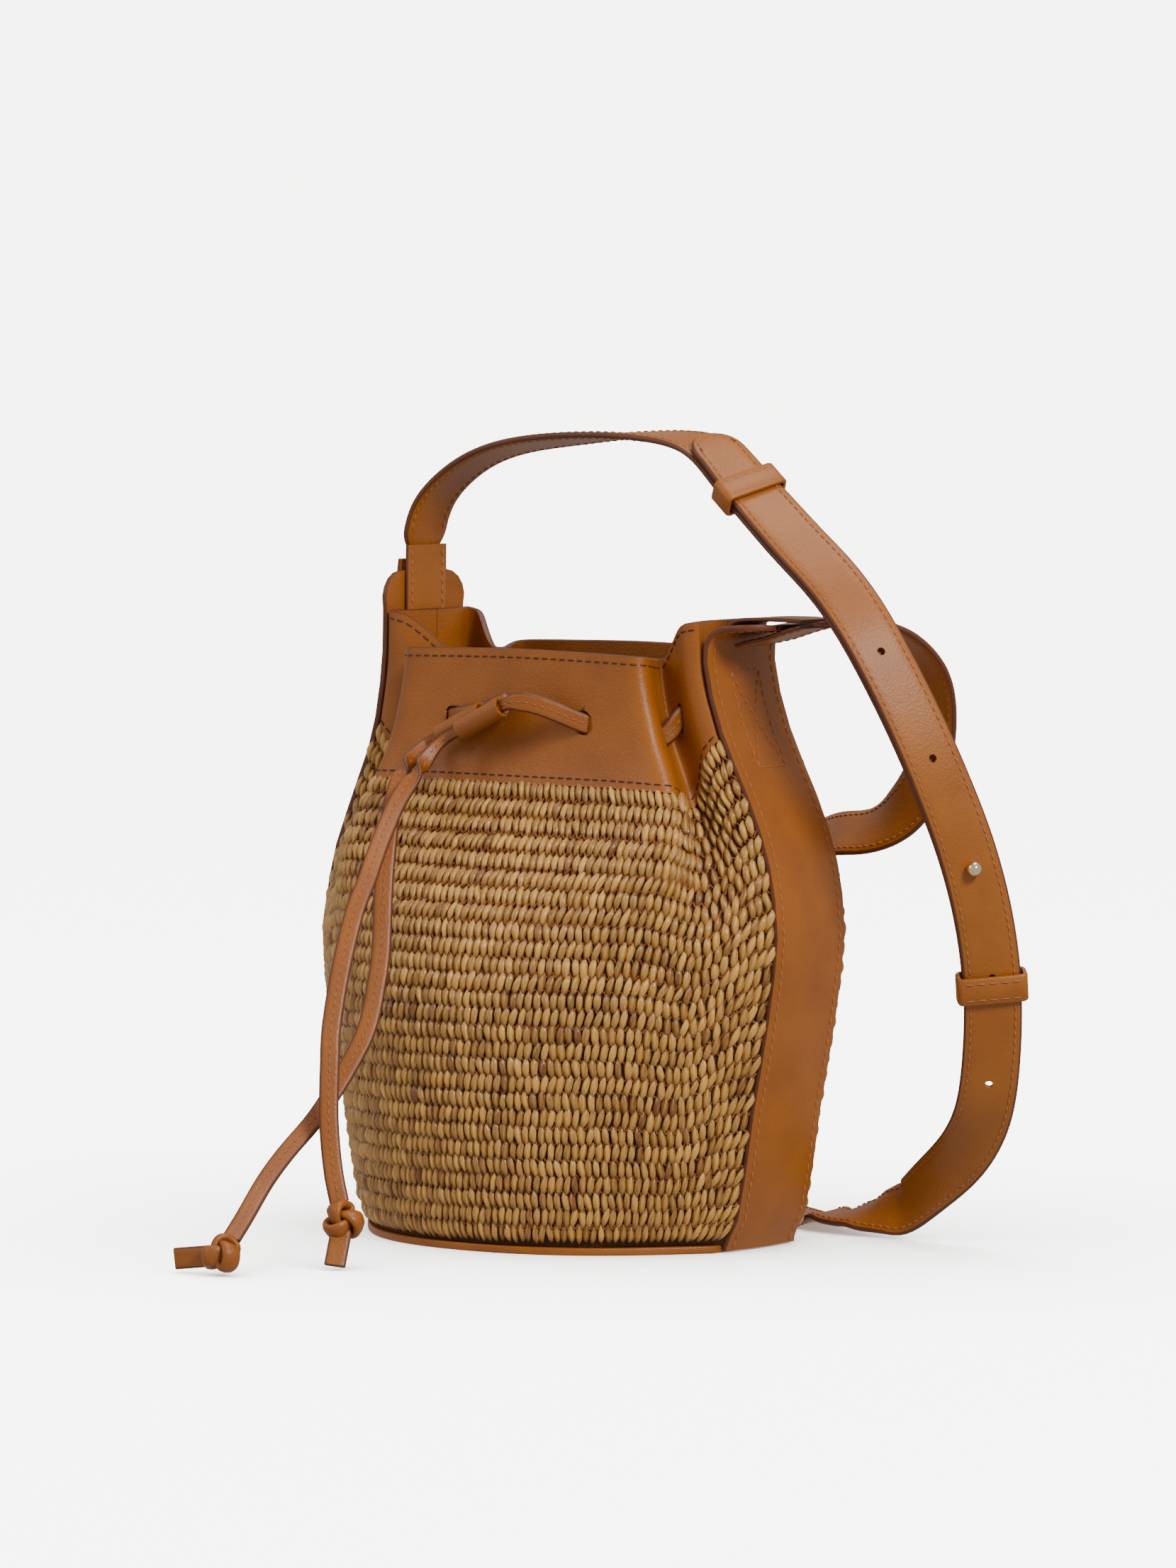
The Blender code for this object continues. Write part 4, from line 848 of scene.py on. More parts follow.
# Shoulder strap: one route from the left root, over the mouth, round on the right, along the
# floor, up behind the bag and back to the right root.  Rows: across, along, up, width direction.
LOOP = route([
    (-70.0, -56.5, 292.5, 0.70, -0.71, 0.0),
    (-69.0, -55.5, 301.0, 0.70, -0.71, 0.0),
    (-64.5, -51.0, 317.0, 0.69, -0.72, -0.05),
    (-49.0, -38.0, 333.5, 0.60, -0.78, -0.12),
    (-30.0, -24.0, 343.0, 0.48, -0.85, -0.18),
    (-3.0, -4.0, 348.5, 0.42, -0.88, -0.15),
    (25.0, 18.0, 351.0, 0.50, -0.85, 0.02),
    (52.5, 42.0, 347.5, 0.68, -0.70, 0.22),
    (70.5, 60.0, 328.6, 0.77, -0.55, 0.32),
    (90.6, 82.0, 306.1, 0.78, -0.46, 0.42),
    (108.9, 99.5, 286.3, 0.79, -0.42, 0.44),
    (124.9, 111.5, 261.6, 0.80, -0.40, 0.44),
    (146.6, 116.0, 217.4, 0.86, -0.32, 0.38),
    (165.4, 109.0, 167.9, 0.95, -0.16, 0.27),
    (174.5, 98.0, 120.1, 0.98, -0.08, 0.10),
    (173.8, 80.0, 70.0, 0.97, 0.06, -0.04),
    (166.2, 60.0, 43.6, 0.84, 0.30, -0.38),
    (150.4, 38.0, 24.0, 0.55, 0.60, -0.56),
    (135.5, 19.0, 9.5, 0.36, 0.85, -0.36),
    (119.5, 2.0, 2.2, 0.10, 0.98, -0.05),
    (107.0, -15.0, 1.7, -0.40, 0.90, 0.0),
    (99.0, -36.0, 1.7, -0.80, 0.58, 0.0),
    (90.0, -60.0, 2.5, -0.92, 0.38, 0.0),
    (77.0, -86.0, 9.0, -0.92, 0.38, 0.0),
    (63.0, -107.0, 31.0, -0.92, 0.38, 0.05),
    (55.0, -117.0, 65.0, -0.90, 0.42, 0.10),
    (60.0, -114.0, 105.0, -0.78, 0.60, 0.0),
    (78.0, -90.0, 141.0, -0.50, 0.80, -0.20),
    (95.0, -52.0, 163.0, -0.20, 0.90, -0.35),
    (110.1, -12.0, 172.6, 0.00, 0.91, -0.41),
    (126.5, 11.0, 176.5, 0.02, 0.80, -0.60),
    (140.8, 28.0, 187.5, 0.25, 0.36, -0.88),
    (150.0, 42.0, 206.4, 0.52, 0.60, -0.60),
    (152.5, 54.0, 228.4, 0.60, 0.78, -0.10),
    (149.5, 64.0, 248.7, 0.48, 0.85, 0.15),
    (138.0, 72.0, 262.5, 0.05, 0.92, 0.35),
    (126.0, 79.5, 268.4, -0.42, 0.88, 0.22),
    (116.2, 84.5, 269.2, -0.6157, 0.788, 0.03),
    (110.6, 85.6, 269.0, -0.6157, 0.788, 0.0),
    (107.6, 84.1, 269.0, -0.6157, 0.788, 0.0),
    (104.2, 81.4, 269.0, -0.6157, 0.788, 0.0),
])
STEP = 0.0045
dense, LENGTH = resample(catmull(LOOP, 14), 900)
dense = ease(dense, 40)
dense, LENGTH = resample(dense, int(LENGTH / 0.001))
# keep the lowest corner of the ribbon on the floor
for _ in range(6):
    c_, t_, w_, n_ = frames(dense)
    low = c_[:, 2] - np.abs(w_[:, 2]) * STRAP_W / 2 - np.abs(n_[:, 2]) * STRAP_T / 2
    need = np.maximum(0.0, 0.0012 - low)
    if need.max() < 1e-5:
        break
    for _k in range(12):
        need[1:-1] = np.maximum(need[1:-1], 0.25 * need[:-2] + 0.5 * need[1:-1] + 0.25 * need[2:])
    dense[:, 2] += need


def station(height_s):
    """Index of the route point closest to the given across-position and height on the front run."""
    target = np.array(height_s) / 1000.0
    run = dense[: len(dense) // 2]
    s = run[:, 0] * math.cos(V_ANGLE) + run[:, 1] * math.sin(V_ANGLE)
    return int(np.argmin((s - target[0]) ** 2 + (run[:, 2] - target[1]) ** 2))


TIP = station((52.0, 348.0))
UPPER = station((76.0, 330.0))
STUD = station((165.4, 167.9))
LOWER = station((174.3, 115.0))
SHORT_END = LOWER + 9


def every(rows, step):
    return resample(rows, max(4, int(round(len(rows) * 0.001 / step))))[0]


UNDER = -(STRAP_T + 0.0010)
short_rows = every(dense[:SHORT_END], 0.0060)
# the short strap sits under the long one; towards the left root it eases back to the route's line
c_, t_, w_, n_ = frames(short_rows)
away = np.linspace(0, 1, len(short_rows))
for k in range(len(short_rows)):
    short_rows[k, :3] += n_[k] * UNDER * smooth(away[k] / 0.30)
ribbon("strap_short", M["strap"], short_rows, STRAP_W, STRAP_T, round_start=True, origin=tuple(PIVOT_L))
long_rows = every(dense[TIP:], 0.0070)
LONG = ribbon("strap_long", M["strap"], long_rows, STRAP_W, STRAP_T, round_start=True, origin=tuple(PIVOT_L))

dc, dt, dw, dn = frames(dense)
punches = []
for k in (-2, -1, 0, 1, 2):
    i = STUD + int(round(k * HOLE_PITCH / 0.001))
    r = HOLE_R if k else 0.0016
    punches.append(cutter_tube("punch_%d" % (k + 2), dc[i], dn[i], dw[i], r, r, 0.012, 10))
SHORT = PIECE["strap_short"]
boolean_cut(LONG, punches)
boolean_cut(SHORT, [punches[2]])

# Ball stud through both straps, with its screwed back disc
def turned(name, mat, centre, axis, profile, sides=40):
    """A solid of revolution: profile rows (radius, height) from bottom to top, on the given axis."""
    a = np.array(axis, float)
    a /= np.linalg.norm(a)
    u = np.cross(a, (0, 0, 1.0))
    u /= np.linalg.norm(u)
    v = np.cross(a, u)
    bm = bmesh.new()
    rings = [[np.array(centre) + a * h + (u * math.cos(2 * math.pi * k / sides) + v * math.sin(2 * math.pi * k / sides)) * r for k in range(sides)] for r, h in profile]
    loft(bm, rings)
    return make(name, bm, mat)


sc, sn = dc[STUD], dn[STUD]
half = STRAP_T / 2
neck = half + 0.0010
ball = [(0.0012, -(STRAP_T * 1.5 + 0.0013)), (0.0012, half), (0.0021, half + 0.0004), (0.0021, neck)]
for k in range(2, 9):
    a = math.radians(180 - 180 * k / 9)
    ball.append((BALL_R * math.sin(a), neck + 0.0022 + BALL_R * math.cos(a)))
ball.append((0.0004, neck + 0.0022 + BALL_R))
turned("stud_ball", M["metal"], sc, sn, ball)
back = -(STRAP_T * 1.5 + 0.0013)
turned("stud_back", M["metal"], sc, sn, [(0.0040, back - 0.0016), (0.0042, back - 0.0012), (0.0042, back - 0.0003)], 32)


# Keeper loops: leather bands around both straps
def keeper(name, i, sweep, spare):
    lo = -(STRAP_T * 1.5 + 0.0010) - spare
    hi = STRAP_T / 2 + spare
    wall = 0.0018
    side = STRAP_W / 2 + spare
    c, t, w, n = dc[i], dt[i], dw[i], dn[i]

    def ring(grow, off):
        pts = []
        r = 0.0012 + grow
        for cw, cn, a0 in ((side, hi, 0), (-side, hi, 90), (-side, lo, 180), (side, lo, 270)):
            sx, sy = (1 if cw > 0 else -1), (1 if cn == hi else -1)
            for da in (0, 18, 36, 54, 72, 90):
                a = math.radians(a0 + da)
                pts.append(c + t * off + w * (cw - sx * 0.0012 + math.cos(a) * r) + n * (cn - sy * 0.0012 + math.sin(a) * r))
        return pts

    e = sweep / 2
    bm = bmesh.new()
    loft(bm, [ring(0, -e), ring(wall * 0.75, -e), ring(wall, -e + 0.0006), ring(wall, e - 0.0006), ring(wall * 0.75, e), ring(0, e)], closed_path=True)
    return make(name, bm, M["strap"], tuple(c))


keeper("keeper_upper", UPPER, 0.0120, 0.0010)
keeper("keeper_lower", LOWER, 0.0120, 0.0009)

# Drawstring: slider tubes, the held run through the collar's holes, and two free tails
def V(x, y, z):
    return np.array([x, y, z]) / 1000.0


SL_AXIS = np.array([0.902, 0.0, 0.431])
SL_AXIS /= np.linalg.norm(SL_AXIS)
FRONT_MOUTH = V(-18.0, -60.5, 221.3)
REAR_MOUTH = V(-34.0, -54.0, 218.3)


def rod(name, start, axis, length, radius, sides, target):
    bm = bmesh.new()
    bmesh.ops.create_cone(bm, cap_ends=True, segments=sides, radius1=radius, radius2=radius, depth=length)
    a = axis / np.linalg.norm(axis)
    u = np.cross((0, 1.0, 0), a)
    u /= np.linalg.norm(u)
    v = np.cross(a, u)
    mid = start + a * length / 2
    for q in bm.verts:
        q.co = tuple(mid + u * q.co.x + v * q.co.y + a * q.co.z)
    bm.normal_update()
    if bm.calc_volume(signed=True) < 0:
        bmesh.ops.reverse_faces(bm, faces=bm.faces)
    me = bpy.data.meshes.new(name)
    bm.to_mesh(me)
    bm.free()
    me.shade_smooth()
    me.set_sharp_from_angle(angle=math.radians(40))
    ob = bpy.data.objects.new("look_" + name, me)
    target.objects.link(ob)
    if target is PARTS:
        PIECE[name] = ob
    if target is CUTTERS:
        ob.hide_render = True
        ob.display_type = "WIRE"
    return ob


outer_r = SLIDER_BORE_R + SLIDER_WALL
SLIDER = rod("slider", FRONT_MOUTH, SL_AXIS, SLIDER_L, outer_r, 40, PARTS)
SLIDER.data.materials.append(M["thong"])
second = rod("slider_second_tube", REAR_MOUTH, SL_AXIS, SLIDER_L, outer_r, 40, CUTTERS)
m = SLIDER.modifiers.new("join", "BOOLEAN")
m.operation = "UNION"
m.solver = "EXACT"
m.object = second
boolean_cut(SLIDER, [rod("slider_bore_%d" % k, mouth - SL_AXIS * 0.01, SL_AXIS, SLIDER_L + 0.02, SLIDER_BORE_R, 32, CUTTERS)
                     for k, mouth in enumerate((FRONT_MOUTH, REAR_MOUTH))])

UP = (-0.431, 0.0, 0.902)
front_top = FRONT_MOUTH + SL_AXIS * (SLIDER_L + 0.0004)
rear_top = REAR_MOUTH + SL_AXIS * (SLIDER_L + 0.0004)


def held_side(side, zlift):
    """The run on one side, from just inside the front hole round the gusset to the middle of the back."""
    dx = 0.0 if side > 0 else -0.9
    pts = [(42, -40.2, 223.5), (50, -38.3, 221.5), (58, -35.6, 219), (64.8, -31.8, 218.5), (69.6, -27.6, 222), (71.8, -21.6, 229),
           (74.6, -14.6, 231.5), (78.6, -7.2, 232), (80.0, 0.0, 232), (78.6, 7.2, 232), (74.6, 14.6, 231.5), (71.8, 21.6, 229),
           (69.6, 27.6, 222), (64.8, 31.8, 218.5), (58, 35.6, 220), (50, 38.3, 222), (40, 39.8, 224), (20, 40.4, 225), (8, 40.6, 225)]
    return [V(side * (x + dx), y, z + zlift) for x, y, z in pts]


right_start = [front_top, front_top + SL_AXIS * 0.004, V(12, -60.0, 234.6), V(19, -57.0, 233.6), V(26.5, -52.0, 230.5), V(33, -46.9, 227.0), V(37.3, -43.6, 225.0)]
left_start = [rear_top, rear_top + SL_AXIS * 0.004, V(-2.6, -53.6, 232.6), V(0.4, -51.2, 233.6), V(-2.0, -48.6, 232.8), V(-9, -47.6, 230.8), V(-18, -47.5, 228.6), V(-26, -47.3, 226.8), V(-32.5, -46.2, 225.6), V(-37.3, -43.2, 225.0)]
held = right_start + held_side(1, 0.0) + list(reversed(held_side(-1, 0.0))) + list(reversed(left_start))
held_rows = [[*p, 0.0, 0.0, 1.0] for p in held]
for k in (0, 1, -1, -2):
    held_rows[k][3:6] = UP
hd, hl = resample(catmull(held_rows, 10), 1100)
hd = ease(hd, 30)
hd, hl = resample(hd, 150)
run = np.linspace(0, hl, len(hd))
held_w = [THONG_W_IN + (THONG_W - THONG_W_IN) * smooth(min(r, hl - r) / 0.010) for r in run]
ribbon("drawstring", M["thong"], hd, held_w, THONG_T)


def eyelets(tag, rows, widths):
    """A slot swept along a stretch of the drawstring, a little larger than it all round."""
    ob = ribbon("eyelet_" + tag, M["thong"], rows, [w + 0.0017 for w in widths], THONG_T + 0.0014)
    PARTS.objects.unlink(ob)
    PIECE.pop("eyelet_" + tag, None)
    CUTTERS.objects.link(ob)
    ob.hide_render = True
    ob.display_type = "WIRE"
    return ob


for face, nm in ((-1, "front"), (1, "back")):
    cuts = []
    for side, tag in ((1, "r"), (-1, "l")):
        near = [k for k in range(len(hd)) if side * hd[k, 0] > 0.0595 and face * hd[k, 1] > 0.0105]
        cuts.append(eyelets("pleat_" + nm + "_" + tag, hd[near], [held_w[k] for k in near]))
        if face < 0:
            near = [k for k in range(len(hd)) if 0.0285 < side * hd[k, 0] < 0.0465 and hd[k, 1] < 0]
            cuts.append(eyelets("mid_" + nm + "_" + tag, hd[near], [held_w[k] for k in near]))
    boolean_cut(PIECE[nm + "_collar"], cuts)

TAIL_A = [(-57.7, 31.0, 217.3), (-63.5, 33.0, 212.5), (-70.0, 38.0, 203.3), (-77.7, 46.0, 192.4), (-83.0, 56.0, 181.1), (-87.4, 66.0, 170.0), (-91.2, 75.0, 159.0), (-96.1, 84.0, 146.4),
          (-101.6, 96.0, 123.3), (-105.3, 106.0, 100.3), (-106.0, 112.0, 84.7), (-106.2, 119.0, 61.3), (-104.3, 124.5, 40.8), (-101.6, 128.6, 27.6)]
TAIL_B = [(-66.2, 17.4, 214.4), (-70.6, 20.5, 210.5), (-76.5, 27.0, 203.2), (-80.6, 35.5, 190.0), (-82.6, 43.5, 177.0), (-84.4, 54.0, 153.8), (-85.2, 64.0, 130.2), (-86.9, 70.0, 116.1), (-90.6, 79.0, 97.8),
          (-97.4, 88.0, 83.2), (-111.1, 103.0, 62.0), (-124.3, 116.0, 47.1), (-132.9, 127.0, 36.0), (-141.1, 143.0, 22.6), (-146.3, 152.0, 14.6)]


def tail(name, mouth, far, widths_from):
    lead = [mouth + SL_AXIS * (SLIDER_L - 0.0002), mouth + SL_AXIS * 0.012, mouth, mouth - SL_AXIS * 0.0085]
    rows = [[*p, *UP] for p in lead]
    for k, (sx, dx, zx) in enumerate(far[1:]):
        turn = smooth((k + 1) / 4.0)
        across = loop_frame(1.0, 0.0, 0.0)
        w = np.array(UP) * (1 - turn) + across * turn
        rows.append([*loop_frame(sx / 1000, dx / 1000, zx / 1000), *w])
    r, l = resample(catmull(rows, 10), 700)
    r = ease(r, 8)
    r, l = resample(r, 62)
    run = np.linspace(0, l, len(r))
    keep = SLIDER_L + SLIDER_TRAVEL + 0.0005
    widths = [THONG_W_IN + (THONG_W - THONG_W_IN) * smooth((x - keep) / 0.022) for x in run]
    return ribbon(name, M["thong"], r, widths, THONG_T), r


_, ra = tail("drawstring_tail_a", FRONT_MOUTH, TAIL_A, 0)
_, rb = tail("drawstring_tail_b", REAR_MOUTH, TAIL_B, 0)


def knot(name, centre, axis, along, across, thick, flat_dir):
    """An overhand knot's outer shape: a UV sphere primitive drawn out along the cord."""
    bm = bmesh.new()
    bmesh.ops.create_uvsphere(bm, u_segments=32, v_segments=20, radius=1.0)
    a = np.array(axis, float)
    a /= np.linalg.norm(a)
    f = np.array(flat_dir, float)
    f -= f.dot(a) * a
    f /= np.linalg.norm(f)
    g = np.cross(a, f)
    for q in bm.verts:
        q.co = tuple(np.array(centre) + a * q.co.z * along + f * q.co.x * thick + g * q.co.y * across)
    return make(name, bm, M["thong"])


def end_strip(name, start, stop_at, w):
    start = start - (stop_at - start) / np.linalg.norm(stop_at - start) * 0.0055
    rows = [[*(start + (stop_at - start) * k / 5), *w] for k in range(6)]
    ribbon(name, M["thong"], np.array(rows), 0.0092, THONG_T)


across = loop_frame(1.0, 0.0, 0.0)
ka_axis = ra[-1, :3] - ra[-4, :3]
ka_axis /= np.linalg.norm(ka_axis)
ka_c = ra[-1, :3] + ka_axis * (0.0004 + 0.0080)
knot("knot_a", ka_c, ka_axis, 0.0080, 0.0082, 0.0062, loop_frame(0, 1, 0))
ea1 = loop_frame(-0.1032, 0.1420, 0.0022)
ea0 = ka_c + (ea1 - ka_c) / np.linalg.norm(ea1 - ka_c) * 0.0086
end_strip("tail_end_a", ea0, ea1, across)
kb_axis = rb[-1, :3] - rb[-4, :3]
kb_axis /= np.linalg.norm(kb_axis)
kb_c = rb[-1, :3] + kb_axis * (0.0004 + 0.0088)
kb_c[2] = max(kb_c[2], 0.0086)
knot("knot_b", kb_c, kb_axis, 0.0084, 0.0078, 0.0074, (0, 0, 1.0))
out = loop_frame(-1.0, -0.55, -0.05)
out /= np.linalg.norm(out)
eb0 = kb_c + out * 0.0102
end_strip("tail_end_b", eb0 - np.array([0, 0, 0.0012]), eb0 + out * 0.0125 - np.array([0, 0, 0.0022]), (0.0, 0.0, 1.0))

# ---------------------------------------------------------------- details
RNG = np.random.default_rng(7)


def mesh_object(name, verts, faces, mat, tone_and_shading=None):
    me = bpy.data.meshes.new(name)
    me.from_pydata(verts.tolist(), [], faces)
    me.shade_smooth()
    me.materials.append(mat)
    if tone_and_shading is not None:
        a = me.attributes.new("tone_and_shading", "FLOAT", "POINT")
        a.data.foreach_set("value", np.asarray(tone_and_shading, np.float32))
    ob = bpy.data.objects.new(name, me)
    PARTS.objects.link(ob)
    return ob


def tube_mesh(paths, radius, sides=6, flat=None):
    """Verts and faces of capped tubes along point lists."""
    V, F, base = [], [], 0
    for path in paths:
        p = np.array(path, float)
        t = np.gradient(p, axis=0)
        t /= np.linalg.norm(t, axis=1)[:, None] + 1e-12
        ref = np.array([0.13, 0.21, 0.97])
        u = np.cross(t, ref)
        u /= np.linalg.norm(u, axis=1)[:, None] + 1e-12
        v = np.cross(t, u)
        n = len(p)
        for i in range(n):
            edge = min(i, n - 1 - i)
            r = radius * (0.55 if edge == 0 else 1.0)
            for k in range(sides):
                a = 2 * math.pi * k / sides
                V.append(p[i] + (u[i] * math.cos(a) + v[i] * math.sin(a)) * r)
        for i in range(n - 1):
            for k in range(sides):
                j = (k + 1) % sides
                F.append((base + i * sides + k, base + i * sides + j, base + (i + 1) * sides + j, base + (i + 1) * sides + k))
        F.append(tuple(base + k for k in reversed(range(sides))))
        F.append(tuple(base + (n - 1) * sides + k for k in range(sides)))
        base += n * sides
    return np.array(V), F


def stitch_line(line, normal, pitch=0.0040, fill=0.70, radius=0.00036, sink=0.00010):
    """Thread stitches along a line that lies on a surface: each dives in at both ends."""
    line = np.array(line, float)
    normal = np.array(normal, float)
    s = np.concatenate([[0], np.cumsum(np.linalg.norm(np.diff(line, axis=0), axis=1))])
    count = max(1, int(s[-1] / pitch))
    step = s[-1] / count
    out = []
    for k in range(count):
        a = (k + 0.5 - fill / 2) * step
        pts = []
        for q, lift in ((0.0, -0.9), (0.14, 0.05), (0.5, 0.25), (0.86, 0.05), (1.0, -0.9)):
            x = a + q * fill * step
            p = np.array([np.interp(x, s, line[:, c]) for c in range(3)])
            n = np.array([np.interp(x, s, normal[:, c]) for c in range(3)])
            pts.append(p + n / (np.linalg.norm(n) + 1e-12) * (radius * lift + 0.00005))
        out.append(pts)
    return out


def surf_normal(f, a, b, ea=2e-3, eb=2e-3):
    du = np.array(f(a + ea, b)) - np.array(f(a - ea, b))
    dv = np.array(f(a, b + eb)) - np.array(f(a, b - eb))
    n = np.cross(du, dv)
    return n / (np.linalg.norm(n) + 1e-12)


# Woven panels: interlocking straw grains in rows, with a thin twisted cord between rows
def weave_detail(face, nm):
    n_rows, n_cols = 27, 78
    z_low = BASE_T + 0.0022

    def col_table(z):
        us = np.linspace(-1, 1, 161)
        p = np.array([panel_point(u, z, face) for u in us])
        s = np.concatenate([[0], np.cumsum(np.linalg.norm(np.diff(p[:, :2], axis=0), axis=1))])
        return us, p, s

    V, F, T = [], [], []
    CV, CF, CT = [], [], []
    seg, rings = 11, 8
    base = 0
    for r in range(n_rows):
        # middle height of this row, following the collar's lower edge at the top
        def row_z(t, off=0.0):
            top = collar_bottom(t) + 0.0010
            return z_low + (top - z_low) * (r + 0.5 + off) / n_rows

        zc = row_z(0.75)
        us, p, s = col_table(zc)
        shift = 0.5 if r % 2 else 0.0
        for c in range(n_cols):
            q = (c + 0.5 + shift * 0.5 - 0.25 + RNG.normal(0, 0.04)) / n_cols
            if not 0.004 < q < 0.996:
                continue
            u = float(np.interp(q * s[-1], s, us))
            t = 1 - abs(u)
            edge = smooth((0.28 - t) / 0.28)
            z = row_z(t) + RNG.normal(0, 0.00022)
            half_h = 0.5 * 0.0101 * (1 + RNG.normal(0, 0.05)) * (1 + 0.10 * edge)
            half_w = 0.5 * (s[-1] / n_cols) * 0.96 * (1 + RNG.normal(0, 0.05))
            P0 = panel_point(u, z, face)
            P1 = panel_point(min(1, u + 0.004), z, face)
            P2 = panel_point(max(-1, u - 0.004), z, face)
            tx = P1 - P2
            tx /= np.linalg.norm(tx)
            up = panel_point(u, z + 0.002, face) - panel_point(u, z - 0.002, face)
            up /= np.linalg.norm(up)
            if abs(tx[2]) < 1e-9 and face > 0:
                tx = tx
            nrm = np.cross(tx, up)
            nrm /= np.linalg.norm(nrm)
            if nrm[1] * face < 0 and abs(nrm[1]) > 0.2 or (abs(nrm[1]) <= 0.2 and nrm[0] * P0[0] < 0):
                nrm = -nrm
            lean = math.radians(6 if (r % 2) else -6) + RNG.normal(0, 0.06) + 0.30 * edge * (1 if u > 0 else -1)
            a = up * math.cos(lean) + tx * math.sin(lean)
            b = tx * math.cos(lean) - up * math.sin(lean)
            tone_and_shading = float(np.clip(RNG.normal(0.60, 0.20), 0.05, 1.05))
            rise = 0.0016 * (1 + RNG.normal(0, 0.10))
            wob = RNG.normal(0, 0.10)
            for i in range(rings):
                f = -1 + 2 * i / (rings - 1)
                taper = max(0.10, (1 - abs(f) ** 2.3))
                cen = P0 + a * f * half_h + b * wob * half_w * math.sin(f * 3) - nrm * (0.0012 + 0.0010 * f * f)
                for k in range(seg):
                    an = 2 * math.pi * k / seg
                    crease = 1.0 - 0.17 * math.cos(4 * an + wob * 30 + 2.2 * f) - 0.06 * math.cos(2 * an - 3 * f)
                    V.append(cen + b * math.cos(an) * half_w * taper * crease + nrm * (math.sin(an) * rise * (0.35 + 0.65 * taper) * crease + 0.0008))
                    # painted shading: each grain darkens towards its ends, where it tucks under its neighbours, and in
                    # its creases, and its ridges are painted lighter as a highlight
                    T.append(tone_and_shading - 0.42 * abs(f) ** 2.5 + 0.16 * (crease - 1.0) / 0.17)
            for i in range(rings - 1):
                for k in range(seg):
                    j = (k + 1) % seg
                    F.append((base + i * seg + k, base + i * seg + j, base + (i + 1) * seg + j, base + (i + 1) * seg + k))
            F.append(tuple(base + k for k in reversed(range(seg))))
            F.append(tuple(base + (rings - 1) * seg + k for k in range(seg)))
            base += rings * seg
        # cord along the joint under this row
        if r:
            path = []
            m = n_cols * 4
            for k in range(m + 1):
                u = float(np.interp(k / m * s[-1], s, us))
                u = max(-0.997, min(0.997, u))
                t = 1 - abs(u)
                z = row_z(t, -0.5) + 0.0013 * math.sin(k * math.pi / 2 + r)
                P0 = panel_point(u, z, face)
                d = panel_point(min(1, u + 0.004), z, face) - panel_point(max(-1, u - 0.004), z, face)
                nn = np.array([d[1], -d[0], 0.0])
                nn /= np.linalg.norm(nn)
                if nn[1] * face < 0 and abs(nn[1]) > 0.2 or (abs(nn[1]) <= 0.2 and nn[0] * P0[0] < 0):
                    nn = -nn
                path.append(P0 - nn * (0.0006 + 0.0004 * math.cos(k * math.pi / 2)))
            v_, f_ = tube_mesh([path], 0.00055, 5)
            off = sum(len(x) for x in CV)
            CV.append(v_)
            CF += [tuple(x + off for x in q) for q in f_]
            CT += [0.5 + 0.4 * math.sin(i * 0.7) for i in range(len(v_))]
    straw = mesh_object("look_%s_straw" % nm, np.array(V), F, STRAW, T)
    cords = mesh_object("look_%s_cords" % nm, np.concatenate(CV), CF, CORD, CT)
    return straw, cords


extra = []   # (object, body, record slot)
for face, nm in ((-1, "front"), (1, "back")):
    straw, cords = weave_detail(face, nm)
    extra.append((straw, "bag", "weave"))
    extra.append((cords, "bag", "weave"))
    # the plain under-sheet sits a little inside the straw; its near-black colour is painted shade in the gaps between
    # grains
    me = PIECE[nm + "_weave"].data

# Stitching
def add_threads(name, lines, mat, body, slot):
    v, f = tube_mesh(lines, 0.00036, 6)
    ob = mesh_object("look_" + name, v, f, mat)
    extra.append((ob, body, slot))


def collar_surface(face):
    def at(u, v):
        t = 1 - abs(u)
        side = 1 if u >= 0 else -1
        z = collar_bottom(t) + (collar_top(t) - collar_bottom(t)) * v
        x, y = panel_plan(z, t, side, face)
        ramp = smooth((0.05 - t) / 0.05) * 0.0026
        return np.array([x - side * ramp, y, z])
    return at


for face, nm in ((-1, "front"), (1, "back")):
    f = collar_surface(face)
    lines = []
    for v in (0.055, 0.945):
        us = np.linspace(-0.985, 0.985, 260)
        pts = [f(u, v) for u in us]
        nrm = []
        for u in us:
            n = surf_normal(f, float(np.clip(u, -0.99, 0.99)), v, 0.004, 0.02)
            nrm.append(n if n[1] * face > 0 or abs(n[1]) < 0.05 else -n)
        lines += stitch_line(pts, nrm, 0.0046, 0.72)
    add_threads(nm + "_collar_thread", lines, THREAD_DARK, "bag", "leather")

